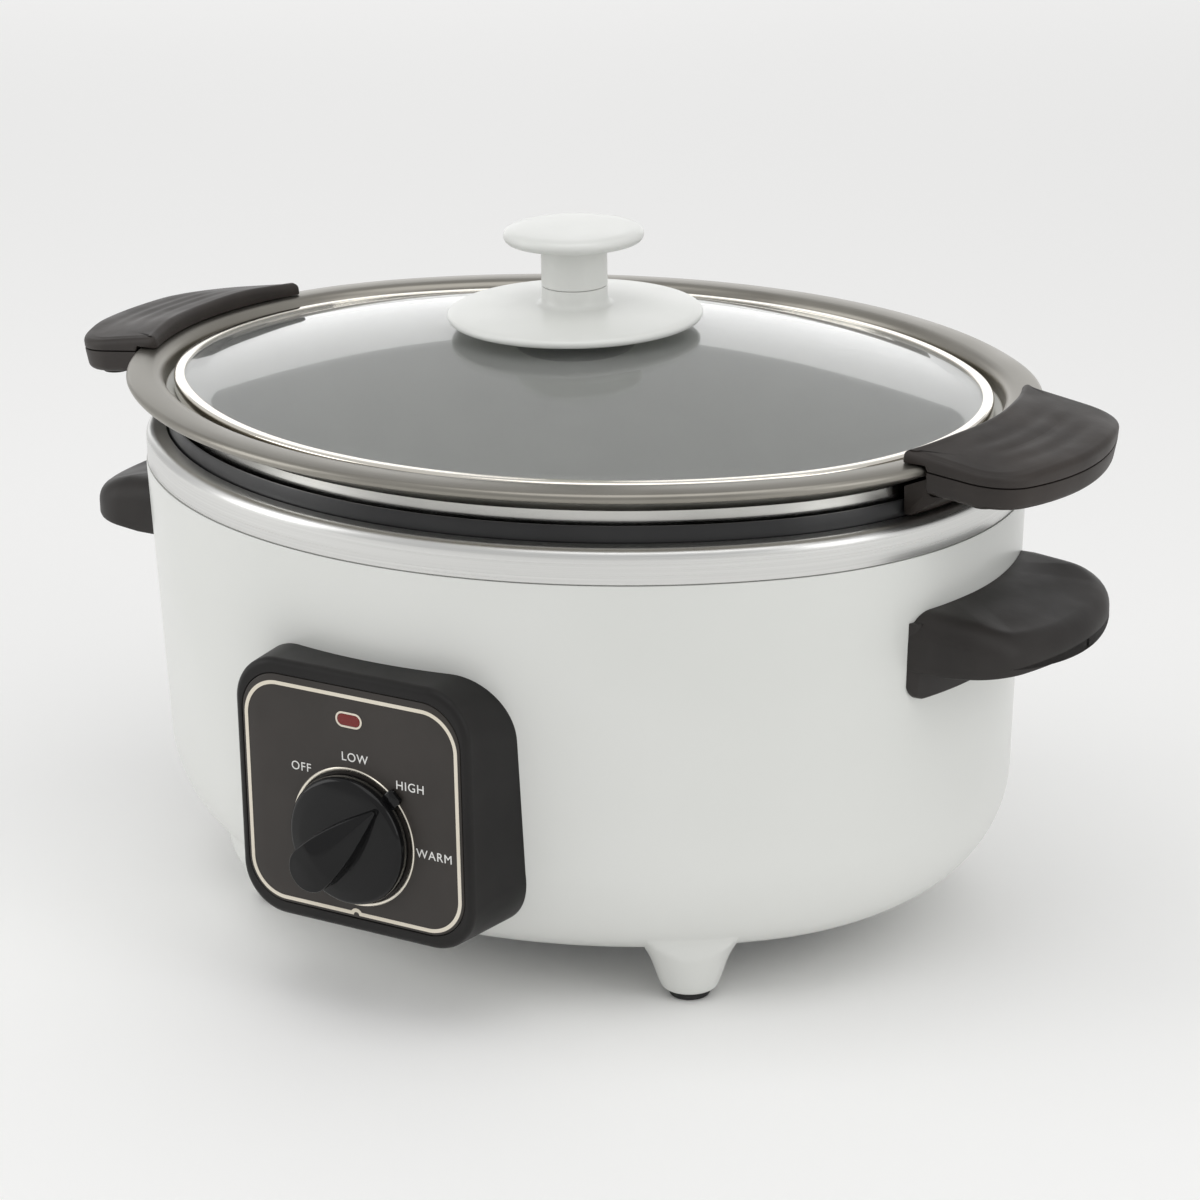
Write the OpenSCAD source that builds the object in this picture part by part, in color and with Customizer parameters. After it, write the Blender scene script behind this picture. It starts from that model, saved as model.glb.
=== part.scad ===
/* [Pot and rim] */
// Length of the cooking pot over its flange, left to right
pot_len = 360; // [356:0.5:364]
// Width of the cooking pot over its flange, front to back
pot_wid = 298; // [294:0.5:300]
// Height of the pot's flange above the datum plane
rim_z = 193; // [192:0.5:196]
// Thickness of the pot's wall and floor
pot_wall = 2.6; // [2:0.1:3]
// Height of the glass lid's dome above the flange
dome_rise = 22; // [20:0.5:24]

/* [Heating base] */
// Slope of the housing's side, sideways millimetres for each millimetre of height
side_slope = 0.039; // [0.036:0.001:0.042]
// Radius between the housing's side and its underside
bottom_round = 45; // [44:0.5:46]
// Height of the housing's underside above the datum plane
under_z = 8; // [7.5:0.5:8.5]
// Height of the datum plane above the table
stand = 9; // [8:0.5:10]
// Wall thickness of the housing
shell_t = 2.4; // [2:0.1:2.8]
// Height of the steel trim band's side
band_h = 12.6; // [12:0.1:13]
// Half-width between the feet, left to right
foot_x = 91.9; // [90:0.1:93]
// Half-depth between the feet, front to back
foot_y = 77.7; // [76:0.1:79]

/* [Control panel] */
// Width of the panel's front face
panel_w = 100; // [96:1:102]
// Height of the panel's front face
panel_h = 98.5; // [97:0.5:99]
// Width of the panel where it meets the housing
panel_back_w = 115; // [112:1:118]
// Height of the dial's axis above the datum plane
dial_z = 62.3; // [61:0.1:63]
// Radius of the trim ring round the dial
ring_r = 26.2; // [25.8:0.1:27]
// Projection of the dial in front of the panel
dial_proj = 17; // [15:0.5:19]

/* [Handles] */
// Distance from the centre to the outer edge of each pot handle
pot_handle_x = 213; // [210:0.5:215]
// Half-length of a pot handle, front to back
pot_handle_y = 48.5; // [47:0.5:49]
// Downward tilt of the pot handles, in degrees
handle_droop = 6.5; // [5:0.5:7]
// Distance from the centre to the outer edge of each side handle
side_handle_x = 212; // [210:0.5:213]
// Half-length of a side handle, front to back
side_handle_y = 46; // [44:0.5:47]

/* [Lid knob] */
// Diameter of the knob's top
knob_d = 52.6; // [50:0.2:55]
// Diameter of the knob's stem
stem_d = 24.8; // [24:0.2:26]
// Diameter of the knob's base disc
base_d = 96; // [94:0.5:98]
// Diameter of the seal under the glass
seal_d = 46; // [44:0.5:48]

/* [Hidden] */
$fn = 72;

// The object stands with its outline's middle over the origin. The oval's own middle lies behind it, because the panel stands out in front.
body_y = 11.6;

// Every oval is drawn from four quarter arcs: two ends about (+-c1, 0) and two sides about (0, -+c1), so all ovals are parallel curves.
// A reach "a" is an oval's half-length along X, and its half-width is a - slim. The sides' radius is a + side_q.
F = pot_len / 2;
// The centre offset nearest to the wanted width at which the ends and the sides meet without a step
c_near = round((pot_len - pot_wid) / 2 / (2 - sqrt(2)) * 10000);
c_steps = [for (m = [c_near - 250:c_near + 250]) abs(m * (sqrt(2) - 1) - round(m * (sqrt(2) - 1)))];
c_pick = c_near - 250 + search(min(c_steps), c_steps)[0];
c1 = c_pick / 10000;
side_q = round(c_pick * (sqrt(2) - 1)) / 10000;
slim = c1 - side_q;
phi = 45;

// Heights
band_top = rim_z - 20;
band_low = band_top - band_h;
lip_z = rim_z - 14.1;
seam_z = rim_z - 0.8;
pot_floor = 72.5;
corner_z = pot_floor + 22.5;
corner_a = F - 44;

// Panel planes: the front face, and the point where the panel has merged with the housing
face_y = -155.8;
panel_low = 25.5;
panel_mid = panel_low + panel_h / 2;
lens_z = 106.5;
gland_z = 56;

function body_a(z) = F - 5.8 - side_slope * (band_low - z);
function arc(cx, cy, r, a0, a1, n) = [for (i = [0:n]) [cx + r * cos(a0 + (a1 - a0) * i / n), cy + r * sin(a0 + (a1 - a0) * i / n)]];
// X of the oval of reach a at a given Y, on the end arcs
function oval_x(a, y) = c1 + sqrt((a - c1) * (a - c1) - y * y);
// A point on the oval of reach a whose normal points along angle t
function oval_pt(a, t) = let (q = t % 360, m = q > 180 ? 360 - q : q, k = m > 90 ? 180 - m : m,
    x = k <= phi ? c1 + (a - c1) * cos(k) : (a + side_q) * cos(k),
    y = k <= phi ? (a - c1) * sin(k) : -c1 + (a + side_q) * sin(k)) [m > 90 ? -x : x, q > 180 ? -y : y];

module placed() { translate([0, body_y, stand]) children(); }
module mirror_x() { children(); mirror([1, 0, 0]) children(); }
module four_corners(x, y) { for (i = [-1, 1], j = [-1, 1]) translate([i * x, j * y, 0]) children(); }

// Sweeps a profile, drawn as (reach, height), round the oval. The profile stays clear of the middle, and a floor is closed by a plate.
module sweep() {
  for (s = [0, 180]) rotate([0, 0, s]) {
    translate([c1, 0, 0]) rotate_extrude(angle = 90, start = -45) translate([-c1, 0]) children();
    translate([0, -c1, 0]) rotate_extrude(angle = 90, start = 45) translate([side_q, 0]) children();
  }
}
module floor_plate(a, z0, z1) { translate([0, 0, z0]) linear_extrude(z1 - z0) polygon([for (k = [0:71]) oval_pt(a, 5 * k)]); }
hub_a = 96;  // where the swept floors end
mid_a = 112; // reach of the plates that close them
// The same profile carried round the right end only, and round the front only, for trimming what stands there
module end_sweep() { translate([c1, 0, 0]) rotate_extrude() translate([-c1, 0]) children(); }
module front_sweep() { translate([0, c1, 0]) rotate_extrude() translate([side_q, 0]) children(); }
module disc_profile(m, a, z0, z1) { polygon([[m, z0], [a, z0], [a, z1], [m, z1]]); }
module y_cyl(r, y0, y1) { translate([0, y0, 0]) rotate([-90, 0, 0]) cylinder(r = r, h = y1 - y0); }
module x_cyl(r, x0, x1) { translate([x0, 0, 0]) rotate([0, 90, 0]) cylinder(r = r, h = x1 - x0); }
module round_rect(w, h, r) { // true arcs at the corners
  square([w - 2 * r, h], center = true); square([w, h - 2 * r], center = true);
  for (i = [-1, 1], j = [-1, 1]) translate([i * (w / 2 - r), j * (h / 2 - r)]) circle(r);
}
// A round lead along hand-set points, as one closed tube
function unit(v) = v / norm(v);
function along(p, i) = unit(p[min(i + 1, len(p) - 1)] - p[max(i - 1, 0)]);
module tube(p, r, n = 8) {
  rings = [for (i = [0:len(p) - 1]) let (t = along(p, i), u = unit(cross(t, [0.31, 0.17, 0.93])), w = cross(t, u))
    [for (k = [0:n - 1]) p[i] + r * (cos(360 * k / n) * u + sin(360 * k / n) * w)]];
  polyhedron(points = [for (q = rings) each q],
    faces = concat([[for (k = [0:n - 1]) k]],
      [for (i = [0:len(p) - 2], k = [0:n - 1]) [i * n + k, (i + 1) * n + k, (i + 1) * n + (k + 1) % n, i * n + (k + 1) % n]],
      [[for (k = [n - 1:-1:0]) (len(p) - 1) * n + k]]));
}
// Evenly spaced points on a smooth curve through hand-set points
function cr(a, b, c, d, t) = 0.5 * (2 * b + (c - a) * t + (2 * a - 5 * b + 4 * c - d) * t * t + (3 * b - a - 3 * c + d) * t * t * t);
function smooth(p, n) = [for (i = [0:len(p) - 2], j = [0:n - 1]) cr(p[max(i - 1, 0)], p[i], p[i + 1], p[min(i + 2, len(p) - 1)], j / n), p[len(p) - 1]];

// ---- Heating base ----
module shell_profile() {
  low = under_z + bottom_round;
  a0 = body_a(low) - bottom_round;
  polygon(concat([[F - 6, band_low - 0.3], [body_a(band_low) , band_low - 1], [body_a(low), low]],
    arc(a0, low, bottom_round, -3, -90, 14), [[F - 69, under_z], [F - 69, under_z + shell_t]],
    arc(a0, low, bottom_round - shell_t, -90, -3, 14),
    [[body_a(low) - shell_t, low], [F - 8.6, band_low - 8], [F - 9.8, band_low - 4], [F - 9.8, rim_z - 27], [F - 12.6, rim_z - 24.7],
     [F - 12.6, rim_z - 22.7], [F - 8.6, rim_z - 22.7], [F - 7.8, rim_z - 25.5], [F - 7.8, band_low - 0.3]]));
}
// Reach of the housing at the height where the legs merge with it
leg_reach = body_a(under_z + bottom_round) - bottom_round + sqrt(bottom_round * bottom_round - pow(under_z + bottom_round - 19, 2)) - 0.2;
module housing() color([0.87, 0.87, 0.85]) placed() difference() {
  union() {
    sweep() shell_profile();
    for (i = [-1, 1], j = [-1, 1]) intersection() {
      translate([i * foot_x, j * foot_y, 3 - stand]) cylinder(r1 = 10.3, r2 = 18.6, h = 16 + stand);
      translate([0, -j * c1, -stand]) cylinder(r = leg_reach + side_q, h = 60);
    }
  }
  // Foot pad sockets
  four_corners(foot_x, foot_y) translate([0, 0, 2 - stand]) cylinder(r = 4.1, h = 8);
  // Opening behind the panel, for the switch and the lamp
  translate([-22, -150, 42]) cube([44, 40, 74]);
  // Panel screws
  for (x = [-36, 36], z = [46, 104]) translate([x, 0, z]) y_cyl(2.2, -150, -110);
  // Side handle screws
  mirror_x() for (y = [-36, 36]) translate([0, y, 124]) x_cyl(2.2, 140, 180);
  // Cord gland
  translate([-6.7, 120, gland_z - 6.7]) cube([13.4, 30, 13.4]);
  // Base plate screws
  for (x = [-1, 1]) translate([x * (F - 66.5), 0, under_z - 6]) cylinder(r = 1.8, h = 12);
  for (y = [-1, 1]) translate([0, y * (F - slim - 66.5), under_z - 6]) cylinder(r = 1.8, h = 12);
}
module trim_band() color([0.80, 0.80, 0.80]) placed() sweep()
  polygon(concat([[F - 6.3, band_low], [F - 6.3, band_top - 3.5]], arc(F - 9.8, band_top - 3.5, 3.5, 6, 90, 8), [[F - 14, band_top], [F - 14, band_top - 1]],
    arc(F - 9.8, band_top - 3.5, 2.5, 90, 6, 8), [[F - 7.3, band_top - 3.5], [F - 7.3, band_low]]));
module liner_profile(m) {
  polygon(concat([[m, pot_floor - 0.4]], arc(corner_a, corner_z, 22.9, -90, 0, 9), [[F - 16.3, rim_z - 23], [F - 15.9, lip_z - 0.4], [F - 15.7, lip_z], [F - 15.1, lip_z], [F - 14.9, lip_z - 0.4],
    [F - 14.9, rim_z - 21.3], [F - 9.4, rim_z - 21.3], [F - 9.4, rim_z - 22.5], [F - 15.1, rim_z - 22.5]],
    arc(corner_a, corner_z, 24.1, 0, -90, 9), [[m, pot_floor - 1.6]]));
}
module well_liner() color([0.10, 0.10, 0.11]) placed() {
  sweep() liner_profile(hub_a);
  floor_plate(mid_a, pot_floor - 1.6, pot_floor - 0.4);
}
function liner_out(z) = corner_a + 24.1 + (z - corner_z) * (F - 15.1 - corner_a - 24.1) / (rim_z - 22.5 - corner_z);
module heater_band() color([0.72, 0.60, 0.38]) placed() sweep()
  polygon([[liner_out(98) + 0.3, 98], [liner_out(127) + 0.3, 127], [liner_out(127) + 2.1, 127], [liner_out(98) + 2.1, 98]]);
module insulation_blanket() color([0.93, 0.92, 0.88]) placed() difference() {
  sweep() polygon([[liner_out(97) + 2.6, 94], [liner_out(127) + 2.6, 127], [liner_out(150) + 2.6, 150], [body_a(150) - shell_t - 0.8, 150], [body_a(94) - shell_t - 0.8, 94]]);
  for (x = [-36, 36]) translate([x, 0, 104]) y_cyl(6, -150, -110);
  mirror_x() for (y = [-36, 36]) translate([0, y, 124]) x_cyl(6, 150, 180);
  translate([-26, -150, 90]) cube([52, 25, 30]);
  // Room for the heater lead
  translate([68, 105, 92]) cube([18, 22, 9]);
}
module well_stud() color([0.70, 0.70, 0.72]) placed() {
  translate([0, 0, pot_floor - 3.2]) cylinder(r = 14, h = 1.5);
  translate([0, 0, under_z - 5]) cylinder(r = 2.5, h = pot_floor + 1.8 - under_z);
}
module well_stud_nut() color([0.75, 0.75, 0.76]) placed() difference() {
  translate([0, 0, under_z - 1.9]) cylinder(r = 4.6, h = 4, $fn = 6);
  translate([0, 0, under_z - 4]) cylinder(r = 2.52, h = 9);
}
module base_plate() color([0.62, 0.63, 0.64]) placed() difference() {
  union() {
    sweep() disc_profile(hub_a, F - 64, under_z + shell_t + 0.1, under_z + shell_t + 1.3);
    floor_plate(mid_a, under_z + shell_t + 0.1, under_z + shell_t + 1.3);
  }
  translate([0, 0, under_z]) cylinder(r = 2.7, h = 6);
  for (x = [-1, 1]) translate([x * (F - 66.5), 0, under_z]) cylinder(r = 1.55, h = 6);
  for (y = [-1, 1]) translate([0, y * (F - slim - 66.5), under_z]) cylinder(r = 1.55, h = 6);
  for (x = [-72:12:72]) if (abs(x) > 20) translate([x - 1.5, -28, under_z]) cube([3, 56, 6]);
}
module base_plate_screws() color([0.75, 0.75, 0.76]) placed() {
  for (x = [-1, 1]) translate([x * (F - 66.5), 0, under_z - 2]) { cylinder(r = 3.4, h = 1.95); cylinder(r = 1.5, h = 8); }
  for (y = [-1, 1]) translate([0, y * (F - slim - 66.5), under_z - 2]) { cylinder(r = 3.4, h = 1.95); cylinder(r = 1.5, h = 8); }
}
module foot_pads() color([0.07, 0.07, 0.07]) placed() four_corners(foot_x, foot_y) translate([0, 0, -stand]) {
  cylinder(r = 7.5, h = 2.95);
  cylinder(r = 4, h = 9);
}

// ---- Side handles ----
// Plan outline of a handle: flat ends, rounded corners and a bowed outer edge
function handle_outline(xmax, yh, rc, ro, x_in) = let (xo = xmax - ro, xc = xo + sqrt((ro - rc) * (ro - rc) - (yh - rc) * (yh - rc)), t = atan2(yh - rc, xc - xo))
  concat([[x_in, -yh]], arc(xc, -yh + rc, rc, -90, -t, 8), arc(xo, 0, ro, -t, t, 12), arc(xc, yh - rc, rc, t, 90, 8), [[x_in, yh]]);
module side_handle() difference() {
  union() {
    difference() {
      translate([0, 0, 117.5]) linear_extrude(22) polygon(handle_outline(side_handle_x, side_handle_y, 19, 85, 150));
      // Finger hollow, open below
      translate([0, 0, 100]) linear_extrude(32.5) polygon(handle_outline(side_handle_x - 4.5, side_handle_y - 5, 15, 81, 174.5));
      // The top falls away towards the outer edge
      translate([172, -60, 140]) rotate([0, 6, 0]) cube([60, 120, 20]);
      translate([side_handle_x - 8, -60, 138]) rotate([0, 38, 0]) cube([30, 120, 20]);
      // The lip rises towards the outer edge
      translate([178, -60, 117.4]) rotate([0, -6, 0]) translate([0, 0, -20]) cube([60, 120, 20]);
    }
    // Back plate, reaching lower beside the housing
    intersection() {
      translate([150, -side_handle_y, 107]) cube([40, 2 * side_handle_y, 30]);
      end_sweep() polygon([[c1, 90], [body_a(90) + 3.6, 90], [body_a(160) + 3.6, 160], [c1, 160]]);
    }
    for (y = [-36, 36]) translate([0, y, 124]) x_cyl(5.5, 160, 184);
  }
  end_sweep() polygon([[c1, 80], [body_a(80) + 0.1, 80], [body_a(170) + 0.1, 170], [c1, 170]]);
  for (y = [-36, 36]) translate([0, y, 124]) x_cyl(1.7, 150, 181);
}
module side_handle_right() color([0.16, 0.15, 0.145]) placed() side_handle();
module side_handle_left() color([0.16, 0.15, 0.145]) placed() mirror([1, 0, 0]) side_handle();
module side_handle_screws() color([0.75, 0.75, 0.76]) placed() mirror_x() for (y = [-36, 36]) translate([0, y, 124]) {
  x_cyl(3.6, oval_x(body_a(124) - shell_t, 39.6) - 2.6, oval_x(body_a(124) - shell_t, 39.6) - 0.2);
  x_cyl(1.65, oval_x(body_a(124) - shell_t, 39.6) - 2.6, 180);
}

// ---- Control panel ----
module panel_slice(w, h, r, y, t) translate([0, y + t, panel_mid]) rotate([90, 0, 0]) linear_extrude(t) round_rect(w, h, r);
module panel_housing() color([0.13, 0.12, 0.115]) placed() difference() {
  union() {
    difference() {
      hull() { panel_slice(panel_w, panel_h, 18, face_y, 3, $fn = 40); panel_slice(panel_back_w, panel_h + 0.5, 25, -126, 1, $fn = 40); }
      hull() { panel_slice(panel_w - 7, panel_h - 7, 15, face_y + 4.2, 1, $fn = 32); panel_slice(panel_back_w - 7, panel_h - 6.5, 22, -120, 1, $fn = 32); }
      // Seat of the face plate
      panel_slice(panel_w - 6.6, panel_h - 10.5, 16, face_y - 1, 2.4);
    }
    for (x = [-36, 36], z = [46, 104]) translate([x, 0, z]) y_cyl(4.5, face_y + 3, -120);
  }
  // The back follows the housing's curve
  front_sweep() polygon(concat([[0, under_z - 0.1]], arc(body_a(under_z + bottom_round) - bottom_round, under_z + bottom_round, bottom_round + 0.1, -90, -3, 16),
    [[body_a(140) + 0.1, 140], [0, 140]]));
  translate([-120, -125, 0]) cube([240, 60, 150]);
  translate([0, 0, dial_z]) y_cyl(4.75, -170, -140);
  translate([-4.2, -170, lens_z - 2.2]) cube([8.4, 40, 4.4]);
  for (x = [-36, 36], z = [46, 104]) translate([x, 0, z]) y_cyl(1.5, face_y + 6, -110);
}
module pill(w, h, y0, y1) translate([0, y1, lens_z]) rotate([90, 0, 0]) linear_extrude(y1 - y0) { square([w - h, h], center = true); for (s = [-1, 1]) translate([s * (w - h) / 2, 0]) circle(h / 2); }
module face_plate() color([0.24, 0.22, 0.20]) placed() difference() {
  panel_slice(panel_w - 7, panel_h - 11, 15.7, face_y, 1.3);
  translate([0, 0, dial_z]) y_cyl(4.8, -170, -140);
  // The recess that the trim ring is pressed into
  translate([0, 0, dial_z]) difference() { y_cyl(ring_r + 0.02, -160, face_y + 0.7); y_cyl(ring_r - 1.5, -161, -140); }
  pill(9.9, 4.9, -160, -150);
}
module dial_ring() color([0.86, 0.84, 0.78]) placed() translate([0, 0, dial_z]) difference() {
  y_cyl(ring_r, face_y - 0.6, face_y + 0.7);
  y_cyl(ring_r - 1.4, -160, -140);
}
module indicator_lens() color([0.75, 0.16, 0.13]) placed() { pill(9.7, 4.7, face_y - 0.4, face_y + 1.4); }
module indicator_lamp() color([0.9, 0.75, 0.6]) placed() translate([0, 0, lens_z]) y_cyl(2.05, face_y + 1.6, face_y + 16);
module rotary_switch() color([0.85, 0.84, 0.80]) placed() difference() {
  union() {
    translate([-17, face_y + 4.3, dial_z - 17]) cube([34, 20, 34]);
    translate([0, 0, dial_z]) y_cyl(4.6, face_y - 3, face_y + 4.3);
    for (x = [-12, 0, 12]) translate([x - 3, face_y + 24.3, dial_z + 6]) cube([6, 5, 0.8]);
  }
  translate([0, 0, dial_z]) y_cyl(3.06, -170, face_y + 20);
}
module switch_nut() color([0.75, 0.75, 0.76]) placed() translate([0, 0, dial_z]) difference() {
  translate([0, face_y - 2.6, 0]) rotate([-90, 0, 0]) cylinder(r = 7.5, h = 2.5, $fn = 6);
  y_cyl(4.65, -162, -150);
}
module panel_screws() color([0.75, 0.75, 0.76]) placed() for (x = [-36, 36], z = [46, 104]) {
  // The head bears on the inside of the housing's wall
  yw = c1 - sqrt((body_a(z) - shell_t + side_q) * (body_a(z) - shell_t + side_q) - 40 * 40);
  translate([x, 0, z]) { y_cyl(3.6, yw + (z < 60 ? 2.2 : 0.3), yw + (z < 60 ? 4.4 : 2.5)); y_cyl(1.45, face_y + 7, yw + 2.4); }
}
module switch_shaft() color([0.70, 0.70, 0.72]) placed() translate([0, 0, dial_z]) difference() {
  y_cyl(3, face_y - 13, face_y + 19);
  translate([-4, -180, 1.8]) cube([8, 180 + face_y - 3.6, 4]);
}
module control_knob() color([0.05, 0.05, 0.05]) placed() translate([0, 0, dial_z]) difference() {
  union() {
    // Skirt, with its outer edge rounded over
    rotate([90, 0, 0]) translate([0, 0, -face_y]) rotate_extrude() polygon(concat([[0, 0.5], [23.8, 0.5], [24, 1]], arc(21, 3.2, 3, 0, 80, 6), [[19.5, 6.8], [0, 7.4]]));
    // Finger ridge, pointing up when the dial is at its middle setting, here turned to the third setting
    rotate([0, 45, 0]) translate([0, face_y - 4, 0]) rotate([90, 0, 0]) linear_extrude(dial_proj - 4) polygon(concat(arc(0, -13, 8.6, 172, 368, 14), [[6, 4], [1.6, 21.5], [-1.6, 21.5], [-6, 4]]));
    // Pointer tab
    rotate([0, 45, 0]) translate([-3, face_y - 2.6, 20]) cube([6, 2.0, 8.6]);
  }
  // Hollow over the switch nut, and the bore for the shaft
  y_cyl(8.2, -162, -150);
  y_cyl(3.02, face_y - 13.2, -150);
}

// ---- Electrical parts ----
module thermal_cutout() color([0.80, 0.78, 0.72]) placed() translate([46, 30, pot_floor - 1.7]) {
  translate([-14, -5, -1.3]) cube([28, 10, 1.2]);
  translate([0, 0, -10.3]) cylinder(r = 7, h = 9);
}
module terminal_block() color([0.90, 0.89, 0.84]) placed() translate([22, 70, under_z + shell_t + 1.35]) difference() {
  cube([40, 18, 15]);
  for (x = [8, 20, 32]) translate([x, 9, 6]) cylinder(r = 2.4, h = 12);
}
module cord_gland() color([0.06, 0.06, 0.06]) placed() translate([0, 0, gland_z]) difference() {
  union() { y_cyl(6.5, 126, 139); y_cyl(9.5, body_a(gland_z) - slim + 0.6, body_a(gland_z) - slim + 3.8); y_cyl(6.2, 137, 149.5); y_cyl(8, 124, 129.5); }
  y_cyl(4.1, 120, 152);
}
// Leads inside the base
supply_route = [[0, 123.3, 56], [0.3, 118.5, 55.5], [3, 111, 50.5], [9, 104, 42], [22, 97, 28], [30, 93, 21.5], [30, 88.6, 21]];
heater_route = [[42, 88.7, 21], [42.6, 94, 22], [52, 102, 34], [62, 107, 54], [71, 111, 72], [75, 114.3, 86], [78.5, 115.6, 97.8]];
lamp_route = [[12, -125.9, 68.7], [13, -116, 62], [12, -90, 44], [10, -40, 26], [20, 20, 22], [41, 56, 21], [42, 69.6, 21]];
module supply_lead() color([0.88, 0.88, 0.86]) placed() tube(smooth(supply_route, 3), 2.2);
module heater_lead() color([0.85, 0.82, 0.72]) placed() tube(smooth(heater_route, 3), 1.6);
module lamp_lead() color([0.85, 0.82, 0.72]) placed() tube(smooth(lamp_route, 4), 1.6);

// ---- Cooking pot ----
module pot_profile(m) {
  t = pot_wall;
  polygon(concat([[m, pot_floor]], arc(corner_a, corner_z, 22.5, -90, 0, 9), [[F - 16.8, rim_z - 23], [F - 16.6, rim_z - 8.9], [F - 16, rim_z - 8.5], [F - 1.4, rim_z - 1.6]],
    arc(F - 1.9, rim_z - 0.1, 1.9, -60, 80, 7),
    [[F - 6, rim_z + 2.1], [F - 11.6, rim_z + 1.8], [F - 13.4, rim_z + 0.8], [F - 14.4, rim_z - 1.4], [F - 14.8, rim_z - 5.4], [F - 21.6, rim_z - 5.6], [F - 21.8, rim_z - 8], [F - 19.4, rim_z - 12], [F - 16.8 - t, rim_z - 23]],
    arc(corner_a, corner_z, 22.5 - t, 0, -90, 9), [[m, pot_floor + t]]));
}
module cooking_pot() color([0.74, 0.73, 0.71]) placed() {
  difference() {
    union() {
      sweep() pot_profile(hub_a);
      floor_plate(mid_a, pot_floor, pot_floor + pot_wall);
      // Cast lugs inside the handles
      mirror_x() intersection() {
        droop() translate([F - 8, -44, rim_z - 4.4]) cube([24, 88, 3.4]);
        difference() { translate([F - 20, -50, rim_z - 12]) cube([60, 100, 16]); ring_cut(); }
      }
    }
    mirror_x() droop() for (y = [-39, 39]) translate([F + 9.5, y, rim_z - 12]) cylinder(r = 2.3, h = 16);
  }
}
// Tilts a pot handle's parts down about the flange's edge
module droop() { translate([F, 0, seam_z]) rotate([0, handle_droop, 0]) translate([-F, 0, -seam_z]) children(); }
module ring_cut() { end_sweep() disc_profile(c1, F - 4, rim_z - 10, rim_z + 4); }
// Clearance of the flange inside a handle shell
module flange_room() { end_sweep() polygon([[F - 30, rim_z + 2.3], [F - 30, rim_z - 9.2], [F - 16.2, rim_z - 9.2], [F + 0.3, rim_z - 1.9], [F + 0.3, rim_z + 0.8], [F - 1.2, rim_z + 2.3]]); }
module lug_room() { droop() translate([F - 24, -44.4, rim_z - 4.7]) cube([40.4, 88.8, 4]); }
module pot_handle_top() difference() {
  droop() intersection() {
    translate([0, 0, seam_z + 0.15]) linear_extrude(rim_z + 7.7 - seam_z) polygon(handle_outline(pot_handle_x, pot_handle_y, 20, 95, 150));
    // The top falls away gently towards the outer edge
    translate([F - 30, -60, rim_z - 6]) rotate([0, 3, 0]) translate([0, 0, -4]) cube([70, 120, 18.6]);
  }
  // and towards its ends
  droop() for (s = [0, 1]) mirror([0, s, 0]) translate([F - 40, 22, rim_z + 7.2]) rotate([-6.5, 0, 0]) cube([90, 40, 20]);
  ring_cut_handle();
  flange_room();
  droop() for (y = [-39, 39]) translate([F + 9.5, y, rim_z - 2]) cylinder(r = 1.7, h = 5.4);
}
module ring_cut_handle() { end_sweep() disc_profile(c1, F - 8.5, rim_z - 30, rim_z + 12); }
module pot_handle_bottom() difference() {
  union() {
    difference() {
      droop() translate([0, 0, rim_z - 9.4]) linear_extrude(seam_z - 0.15 - rim_z + 9.4) polygon(handle_outline(pot_handle_x, pot_handle_y, 20, 95, 150));
      end_sweep() disc_profile(c1, F + 0.3, rim_z - 12, rim_z + 3);
    }
    // Bracket under the flange, resting against the pot's wall
    intersection() {
      end_sweep() polygon([[F - 14.1, rim_z - 19.4], [F - 11.6, rim_z - 19.4], [F + 3, rim_z - 9.4], [F + 3, rim_z - 2], [F - 14.1, rim_z - 2]]);
      translate([F - 40, -40, rim_z - 30]) cube([60, 80, 30]);
    }
    droop() for (y = [-39, 39]) translate([F + 9.5, y, rim_z - 10.6]) cylinder(r = 5, h = 4);
  }
  flange_room();
  lug_room();
  droop() for (y = [-39, 39]) translate([F + 9.5, y, rim_z - 20]) { cylinder(r = 2.3, h = 30); cylinder(r = 3.8, h = 12); }
}
module pot_handle_right_top() color([0.22, 0.20, 0.19]) placed() pot_handle_top();
module pot_handle_left_top() color([0.22, 0.20, 0.19]) placed() mirror([1, 0, 0]) pot_handle_top();
module pot_handle_right_bottom() color([0.19, 0.17, 0.16]) placed() pot_handle_bottom();
module pot_handle_left_bottom() color([0.19, 0.17, 0.16]) placed() mirror([1, 0, 0]) pot_handle_bottom();
module pot_handle_screws() color([0.75, 0.75, 0.76]) placed() mirror_x() droop() for (y = [-39, 39]) translate([F + 9.5, y, 0]) {
  translate([0, 0, rim_z - 10.2]) cylinder(r = 3.5, h = 2.1);
  translate([0, 0, rim_z - 10.2]) cylinder(r = 1.65, h = 13.4);
}

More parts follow.
